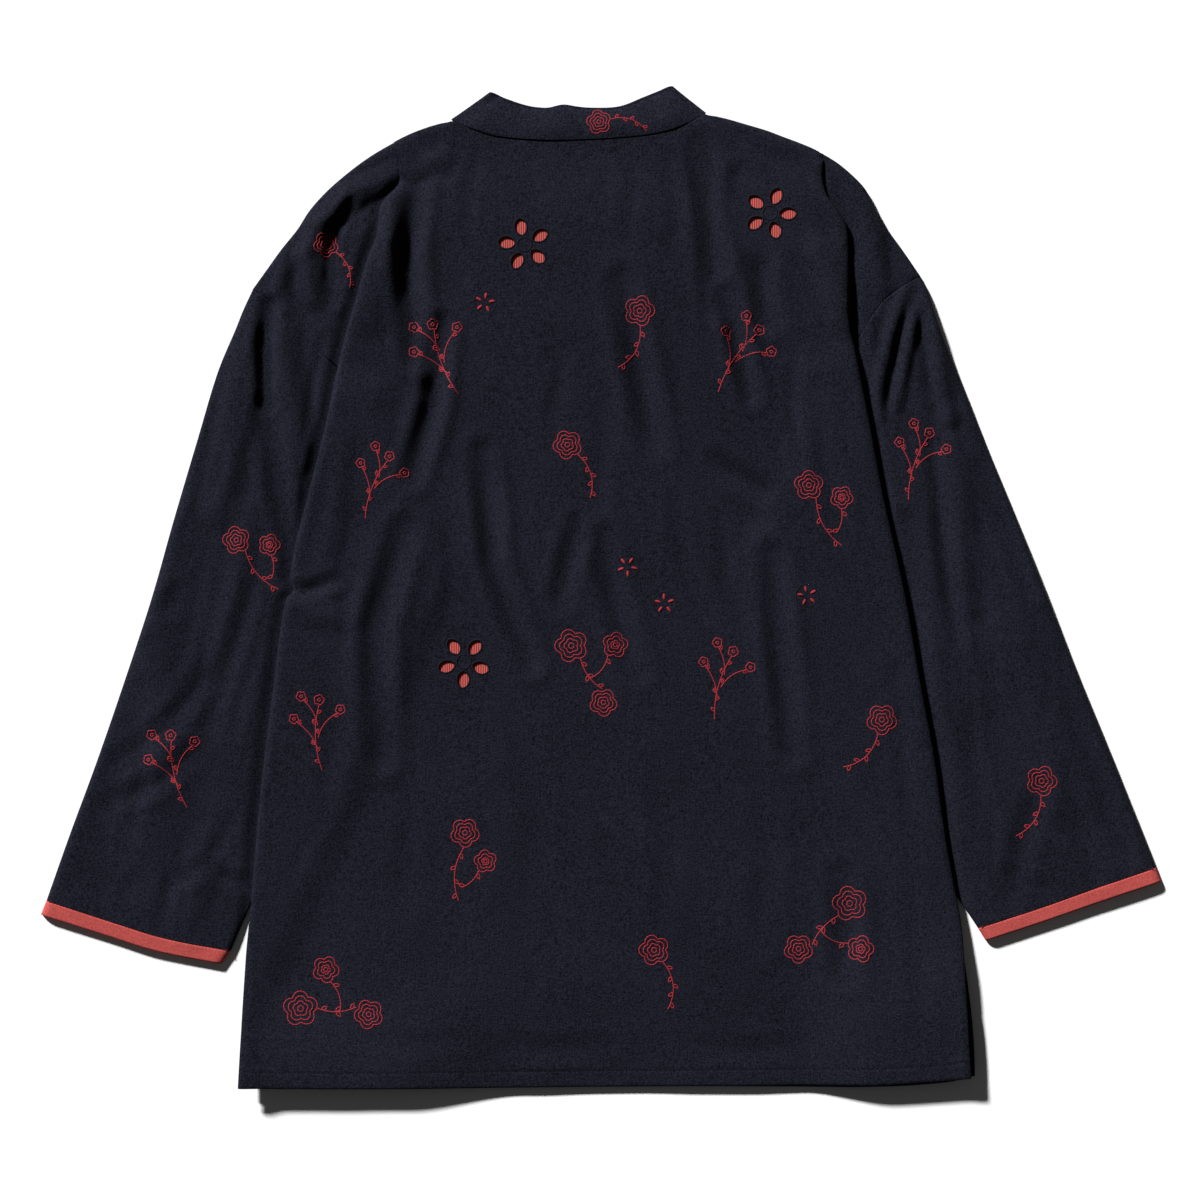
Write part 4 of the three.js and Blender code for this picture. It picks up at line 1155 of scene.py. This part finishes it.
class Shade:
    """One material and its nodes."""

    def __init__(self, name):
        self.material = bpy.data.materials.new(name)
        self.material.use_nodes = True
        self.tree = self.material.node_tree
        self.tree.nodes.clear()

    def node(self, kind, settings=None, sockets=None, out=0):
        made = self.tree.nodes.new(kind)
        for key, value in (settings or {}).items():
            setattr(made, key, value)
        for key, value in (sockets or {}).items():
            if isinstance(value, Value):
                self.tree.links.new(value.socket, made.inputs[key])
            else:
                made.inputs[key].default_value = value
        return Value(self, made.outputs[out]) if made.outputs else None

    def place(self, scale):
        """Object coordinates in millimetres, scaled in each direction."""
        place = self.node("ShaderNodeTexCoord", out="Object")
        return self.node("ShaderNodeMapping", None, {"Vector": place, "Scale": tuple(1000 * s for s in scale)})

    def axis(self, name):
        return self.node("ShaderNodeSeparateXYZ", None, {0: self.place((1, 1, 1))}, name)

    def noise(self, scale, detail=2):
        return self.node("ShaderNodeTexNoise", None, {"Vector": self.place(scale), "Scale": 1, "Detail": detail})

    def mix(self, share, first, second):
        return self.node("ShaderNodeMix", {"data_type": "RGBA"}, {0: share, 6: (*first, 1), 7: (*second, 1)}, 2)

    def finish(self, colour, height, relief, **uniform):
        """Links colour and bump to the shader, and sets what is the same all over."""
        bump = {"Height": height, "Distance": relief * MM, "Strength": 1}
        sockets = {"Base Color": colour, "Normal": self.node("ShaderNodeBump", None, bump)}
        sockets.update({key.replace("_", " "): value for key, value in uniform.items()})
        shader = self.node("ShaderNodeBsdfPrincipled", None, sockets)
        self.node("ShaderNodeOutputMaterial", None, {"Surface": shader})
        return self.material


def shaded(colour, share):
    return tuple(min(1, c * share) for c in colour[:3])


def woven(name, colour, pitch=0.66, depth=0.85, relief=0.45, sheen=0.008, tint=(1, 1, 1, 1)):
    """Plain-woven cotton with uneven threads and a little lint."""
    shade = Shade(name)
    x = shade.axis("X")
    y = shade.axis("Y")
    warp = (x * (math.tau / pitch) + shade.noise((0.5, 0.06, 0.3)) * 4).sine()
    weft = (y * (math.tau / pitch) + shade.noise((0.06, 0.5, 0.3)) * 4).sine()
    weave = warp * weft * 0.5 + 0.5
    slubs = shade.noise((0.16, 1.4, 1), 2) * 0.5 + shade.noise((1.4, 0.16, 1), 2) * 0.5
    lint = shade.noise((0.75, 0.75, 0.75), 2)
    cloudy = shade.noise((0.012, 0.012, 0.012), 3)
    tone = weave * 0.2 + slubs * 1.2 + lint * 1.7 + cloudy * 0.3 - 1.2
    toned = shade.mix(tone, shaded(colour, 1 - depth), shaded(colour, 1 + depth))
    height = weave * 0.3 + slubs * 0.9 + lint * 1.2
    return shade.finish(toned, height, relief, Roughness=0.95, Specular_IOR_Level=0.04,
                        Sheen_Weight=sheen, Sheen_Roughness=0.5, Sheen_Tint=tint)


def ribbed(name, colour, pitch=1.7):
    """Red cloth with raised ribs that run down the jacket."""
    shade = Shade(name)
    rib = (shade.axis("X") * (math.tau / pitch) + shade.noise((0.2, 0.04, 0.2)) * 1.5).sine() * 0.5 + 0.5
    threads = (shade.axis("Y") * (math.tau / 0.5)).sine() * 0.5 + 0.5
    tone = rib * 0.7 + threads * 0.1 + shade.noise((0.8, 0.8, 0.8)) * 0.2
    toned = shade.mix(tone, shaded(colour, 0.35), shaded(colour, 1.15))
    return shade.finish(toned, tone, 0.4, Roughness=0.8, Specular_IOR_Level=0.25)


def thread(name, colour, roughness=0.55):
    """Twisted embroidery thread with a soft lustre."""
    shade = Shade(name)
    twist = ((shade.axis("X") + shade.axis("Y")) * (math.tau / 0.42)).sine() * 0.5 + 0.5
    tone = twist * 0.6 + shade.noise((1.2, 1.2, 1.2)) * 0.4
    toned = shade.mix(tone, shaded(colour, 0.6), shaded(colour, 1.3))
    return shade.finish(toned, tone, 0.08, Roughness=roughness, Specular_IOR_Level=0.1)


def pale_floor(name, colour):
    shade = Shade(name)
    grain = shade.noise((0.05, 0.05, 0.05), 3)
    return shade.finish(shade.mix(grain, shaded(colour, 0.99), shaded(colour, 1.01)), grain, 0.01, Roughness=0.9)


def colour_property(name, description, default):
    return bpy.props.FloatVectorProperty(
        name=name, description=description, default=default, subtype="COLOR", size=3, min=0, max=1)


def length_property(name, description, default):
    return bpy.props.FloatProperty(
        name=name, description=description, default=default, unit="LENGTH", subtype="DISTANCE", min=0)


class JacketSizes(bpy.types.PropertyGroup):
    cloth: length_property("Cloth", "Thickness of the jacket's cotton cloth", 0.001)
    collar: length_property("Collar", "Thickness of the faced collar band", 0.0014)
    backing: length_property("Backing", "Thickness of the red backing cloths", 0.0007)
    thread: length_property("Embroidery Thread", "Half the width of the embroidery thread", 0.00048)
    stitch: length_property("Embroidery Stitch", "Length of one embroidery stitch", 0.0024)
    edge_thread: length_property("Edge Thread", "Half the width of the stitched edge of the openwork", 0.0007)
    hem_stitch: length_property("Hem Stitch", "Length of one hem stitch", 0.0026)


class JacketColours(bpy.types.PropertyGroup):
    navy: colour_property("Navy Cloth", "Colour of the cotton cloth", (0.0104, 0.0106, 0.0174))
    band: colour_property("Cuff Band", "Colour of the bands at the sleeve ends", (0.38, 0.064, 0.058))
    backing: colour_property("Backing", "Colour of the ribbed cloth behind the openwork", (0.5, 0.08, 0.068))
    red_thread: colour_property("Red Thread", "Colour of the embroidery thread", (0.29, 0.025, 0.032))
    navy_thread: colour_property("Navy Thread", "Colour of the sewing thread", (0.007, 0.0075, 0.013))
    floor: colour_property("Floor", "Colour of the floor", (0.88, 0.88, 0.88))


class JacketStage(bpy.types.PropertyGroup):
    floor_size: length_property("Floor Size", "Length of each side of the floor", 16)
    camera_height: length_property("Camera Height", "Height of the camera above the floor", 2.4)
    view_width: length_property("View Width", "Width of the floor that the picture shows", 0.912)
    key_strength: bpy.props.FloatProperty(
        name="Key Light", description="Strength of the key light", default=8, min=0)
    fill_strength: bpy.props.FloatProperty(
        name="Fill Light", description="Strength of the light from all round", default=0.042, min=0)


def made_material(key):
    """A material by its name, made the first time it is asked for."""
    colours = bpy.context.scene.jacket_colours
    if key in bpy.data.materials:
        return bpy.data.materials[key]
    makers = {
        "navy_cotton": lambda: woven(key, colours.navy, tint=NAVY_SHEEN),
        # Painted light: the collar's navy cotton is made 1.3 times lighter than the body's, standing for the
        # light that falls on the collar.
        "navy_cotton_painted_lighter": lambda: woven(key, shaded(colours.navy, 1.3), tint=NAVY_SHEEN),
        "red_band_cotton": lambda: woven(key, colours.band, depth=0.25, relief=0.12, tint=RED_SHEEN),
        "red_ribbed_cloth": lambda: ribbed(key, colours.backing),
        "red_embroidery_thread": lambda: thread(key, colours.red_thread),
        "navy_sewing_thread": lambda: thread(key, colours.navy_thread, 0.7),
        # Painted shadow: the cuff band's red darkened to a quarter, for the shadow the sleeve's navy edge casts
        # on the band.
        "cuff_painted_shadow_thread": lambda: thread(key, shaded(colours.band, 0.25), 0.8),
        # Painted shade: the sewing thread darkened to under a third, for the shadow in the armhole seams and in
        # the hem's stitched groove.
        "seam_shadow_thread": lambda: thread(key, shaded(colours.navy_thread, 0.3), 0.9),
        "pale_floor": lambda: pale_floor(key, colours.floor),
    }
    return makers[key]()


def build_back():
    sizes = bpy.context.scene.jacket_sizes
    bm = bmesh.new()
    us = shares(470, 138, ROLL_STEPS, ROLL_STEPS)
    vs = shares(716, 182, ROLL_STEPS, HEM_STEPS)
    add_grid(bm, us, vs, back_surface)
    cut_openwork(bm)
    for side in SIDES.values():
        add_grid(bm, shares(60, 34, ROLL_STEPS), shares(160, 90, (0,), (0, 0.3, 0.7, 1.5)), wing_surface(side))
    piece = finished("back_panel", bm, made_material("navy_cotton"), sizes.cloth)
    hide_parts("back")


def build_fronts():
    for name, side in SIDES.items():
        bm = bmesh.new()
        add_grid(bm, shares(1, 56), shares(1, 120), front_surface(side))
        thickness = bpy.context.scene.jacket_sizes.cloth
        piece = finished(f"{name}_front_panel", bm, made_material("navy_cotton"), thickness)
        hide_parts(f"{name}_front")


def build_tube(name, surface, ring, along, material, node):
    bm = bmesh.new()
    add_grid(bm, ring, along, surface)
    bmesh.ops.remove_doubles(bm, verts=bm.verts, dist=1e-6)
    piece = finished(name, bm, made_material(material), bpy.context.scene.jacket_sizes.cloth)
    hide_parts(node)


def build_sleeves():
    for name, side in SIDES.items():
        along = shares(480, 170, (0, 0.3, 0.7, 1.4), (0, 0.5, 1.4))
        build_tube(f"{name}_sleeve_tube", sleeve_surface(side), ring_shares(185, 30, 84), along,
                   "navy_cotton", f"{name}_sleeve")


def build_cuffs():
    for name, side in SIDES.items():
        build_tube(f"{name}_cuff_tube", cuff_surface(side), ring_shares(145, 30, 52), shares(11, 8),
                   "red_band_cotton", f"{name}_cuff_band")


def build_collar():
    bm = bmesh.new()
    add_grid(bm, shares(1, 260), shares(34, 16, (0, 0.5, 1.2), (0, 0.5, 1.2, 2, 2.6, 3.4)), collar_surface)
    thickness = bpy.context.scene.jacket_sizes.collar
    # The collar's cloth is the lighter navy with painted light.
    piece = finished("collar_band", bm, made_material("navy_cotton_painted_lighter"), thickness)
    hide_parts("collar")


def build_openwork():
    sizes = bpy.context.scene.jacket_sizes
    for number, (x, y, _) in enumerate(BLOSSOMS, 1):
        def disc(u, v, x=x, y=y):
            a = 2 * u - 1
            b = 1 - 2 * v
            px = x + BACKING_RADIUS * a * np.sqrt(1 - b * b / 2)
            py = y + BACKING_RADIUS * b * np.sqrt(1 - a * a / 2)
            return np.stack([px, py, back_top(px, py) - BACKING_DROP], axis=-1)

        bm = bmesh.new()
        add_grid(bm, shares(1, 40), shares(1, 40), disc)
        piece = finished(f"backing_cloth_{number}", bm, made_material("red_ribbed_cloth"), sizes.backing)
        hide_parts(f"backing_{number}")
    edges = []
    for blossom in BLOSSOMS:
        for petal in range(PETALS):
            outline = petal_outline(blossom, petal, 0.35)
            edges.append(np.vstack([outline, outline[:1]]))
        edges.append(circle(*blossom[:2], 5.4))
    thread_piece("openwork_edges", edges, sizes.edge_thread / MM, made_material("navy_sewing_thread"),
                 back_top, 1.1, 0.52)


def build_embroidery():
    sizes = bpy.context.scene.jacket_sizes
    red = made_material("red_embroidery_thread")
    for carrier, rows in EMBROIDERY.items():
        lines = [line for kind, *place in rows for line in placed(MOTIFS[kind](), *place)]
        height = carried_height(carrier)
        lay = 0.75 if carrier == "collar" else 0.55
        thread_piece(f"embroidery_{carrier}", lines, sizes.thread / MM, red,
                     height, sizes.stitch / MM, lay)
    satin = []
    outlines = []
    for x, y, turn in STARS:
        for k in range(5):
            angle = math.radians(turn + 72 * k)
            ray = np.array((math.cos(angle), math.sin(angle)))
            satin.append(np.array([(x, y) + ray * 3.2, (x, y) + ray * 5.2, (x, y) + ray * 7.4]))
        outlines.extend(circle(x, y, radius) for radius in (2.2, 8.6))
    thread_piece("satin_stars", satin, 1.1, red, back_top, 4.4, 0.5)
    thread_piece("satin_star_outlines", outlines, sizes.thread / MM, made_material("navy_sewing_thread"),
                 back_top, sizes.stitch / MM, 0.5)


# Hem stitches, and painted shadow: dark threads laid in the armhole and cuff seams.
def build_stitches_and_seam_shadows():
    step = bpy.context.scene.jacket_sizes.hem_stitch / MM
    for name, side in SIDES.items():
        # Painted shadow: a very dark thread sunk in each armhole seam stands for the seam's shadow.
        seam = curve(side.armhole[:6])(np.linspace(0.02, 1, 60))[:, :2]
        thread_piece(f"{name}_armhole_painted_seam_shadow", [seam], 0.46, made_material("seam_shadow_thread"),
                     lambda x, y, side=side: back_rim(x, y) + shoulder_swell(side, x, y), step, -0.3)
        # Painted shadow: a dark red thread along each cuff seam stands for the sleeve edge's shadow on the band.
        join = curve(side.cuff)(np.linspace(0.01, 0.99, 60))[:, :2]
        thread_piece(f"{name}_cuff_painted_shadow_line", [join], 0.4, made_material("cuff_painted_shadow_thread"),
                     lambda x, y, side=side: FLOOR_LAYER + SLEEVE_STEP + sleeve_puff(side, x, y), step, 0.3)
    # The hem's stitches are real; their thread is darkened as painted shade of the stitched groove.
    dashes = []
    for x in np.arange(*HEM_ENDS, step * 1.4):
        ends = np.array((x, x + step / 2, x + step))
        dashes.append(np.stack([ends, back_hem(ends) + HEM_STITCH_LINE], axis=-1))
    thread_piece("hem_stitches_and_painted_shade", dashes, 0.34, made_material("seam_shadow_thread"),
                 back_top, step, 0.5)


def build_stage():
    stage = bpy.context.scene.jacket_stage
    bm = bmesh.new()
    bmesh.ops.create_grid(bm, x_segments=1, y_segments=1, size=stage.floor_size / 2)
    mesh = bpy.data.meshes.new("floor")
    bm.to_mesh(mesh)
    bm.free()
    mesh.materials.append(made_material("pale_floor"))
    floor = linked("floor", mesh)
    key = bpy.data.lights.new("key_light", "SUN")
    key.energy = stage.key_strength
    key.angle = math.radians(KEY_ANGLE)
    linked("key_light", key).rotation_euler = Vector(KEY_DIRECTION).to_track_quat("-Z", "Y").to_euler()
    world = bpy.data.worlds.new("studio_fill")
    world.use_nodes = True
    background = world.node_tree.nodes["Background"]
    background.inputs["Color"].default_value = (1, 1, 1, 1)
    background.inputs["Strength"].default_value = stage.fill_strength
    bpy.context.scene.world = world
    camera = bpy.data.cameras.new("camera")
    camera.sensor_width = SENSOR_WIDTH
    camera.lens = SENSOR_WIDTH * stage.camera_height / stage.view_width
    camera_object = linked("camera", camera)
    camera_object.location = (*VIEW_CENTRE, stage.camera_height)
    bpy.context.scene.camera = camera_object
    bpy.context.scene.view_settings.view_transform = "Standard"


class JACKET_OT_stage(bpy.types.Operator):
    """Make the floor, the lights and the camera"""
    bl_idname = "jacket.stage"
    bl_label = "Stage"

    def execute(self, context):
        build_stage()
        return {"FINISHED"}


class JACKET_OT_back(bpy.types.Operator):
    """Make the back panel with its shoulders and openwork holes"""
    bl_idname = "jacket.back"
    bl_label = "Back Panel"

    def execute(self, context):
        build_back()
        return {"FINISHED"}


class JACKET_OT_fronts(bpy.types.Operator):
    """Make the two front panels under the back"""
    bl_idname = "jacket.fronts"
    bl_label = "Front Panels"

    def execute(self, context):
        build_fronts()
        return {"FINISHED"}


class JACKET_OT_sleeves(bpy.types.Operator):
    """Make the two sleeve tubes"""
    bl_idname = "jacket.sleeves"
    bl_label = "Sleeves"

    def execute(self, context):
        build_sleeves()
        return {"FINISHED"}


class JACKET_OT_cuffs(bpy.types.Operator):
    """Make the red bands at the sleeve ends"""
    bl_idname = "jacket.cuffs"
    bl_label = "Cuff Bands"

    def execute(self, context):
        build_cuffs()
        return {"FINISHED"}


class JACKET_OT_collar(bpy.types.Operator):
    """Make the stand collar"""
    bl_idname = "jacket.collar"
    bl_label = "Collar"

    def execute(self, context):
        build_collar()
        return {"FINISHED"}


class JACKET_OT_openwork(bpy.types.Operator):
    """Make the backing cloths and stitched edges of the openwork blossoms"""
    bl_idname = "jacket.openwork"
    bl_label = "Openwork"

    def execute(self, context):
        build_openwork()
        return {"FINISHED"}


class JACKET_OT_embroidery(bpy.types.Operator):
    """Make the embroidered flowers, twigs and satin stars"""
    bl_idname = "jacket.embroidery"
    bl_label = "Embroidery"

    def execute(self, context):
        build_embroidery()
        return {"FINISHED"}


class JACKET_OT_stitches_and_seam_shadows(bpy.types.Operator):
    """Make the stitches of the turned hem, darkened as painted shade of its groove, and the dark threads of
    painted shadow along the armhole and cuff seams
    """
    bl_idname = "jacket.stitching"
    bl_label = "Stitches and Seam Shadows"

    def execute(self, context):
        build_stitches_and_seam_shadows()
        return {"FINISHED"}


OPERATORS = (
    JACKET_OT_stage, JACKET_OT_fronts, JACKET_OT_sleeves, JACKET_OT_cuffs, JACKET_OT_back,
    JACKET_OT_collar, JACKET_OT_openwork, JACKET_OT_embroidery, JACKET_OT_stitches_and_seam_shadows,
)


class JACKET_PT_panel(bpy.types.Panel):
    bl_label = "Jacket"
    bl_idname = "JACKET_PT_panel"
    bl_space_type = "VIEW_3D"
    bl_region_type = "UI"
    bl_category = "Jacket"

    def draw(self, context):
        scene = context.scene
        for group in (scene.jacket_sizes, scene.jacket_colours, scene.jacket_stage):
            for key in group.__annotations__:
                self.layout.prop(group, key)
        for operator in OPERATORS:
            self.layout.operator(operator.bl_idname)


CLASSES = (JacketSizes, JacketColours, JacketStage, *OPERATORS, JACKET_PT_panel)


def register():
    for item in CLASSES:
        bpy.utils.register_class(item)
    bpy.types.Scene.jacket_sizes = bpy.props.PointerProperty(type=JacketSizes)
    bpy.types.Scene.jacket_colours = bpy.props.PointerProperty(type=JacketColours)
    bpy.types.Scene.jacket_stage = bpy.props.PointerProperty(type=JacketStage)


def unregister():
    del bpy.types.Scene.jacket_stage
    del bpy.types.Scene.jacket_colours
    del bpy.types.Scene.jacket_sizes
    for item in reversed(CLASSES):
        bpy.utils.unregister_class(item)


def main():
    register()
    for operator in OPERATORS:
        group, name = operator.bl_idname.split(".")
        getattr(getattr(bpy.ops, group), name)()
    bpy.context.view_layer.update()


if __name__ == "__main__":
    main()
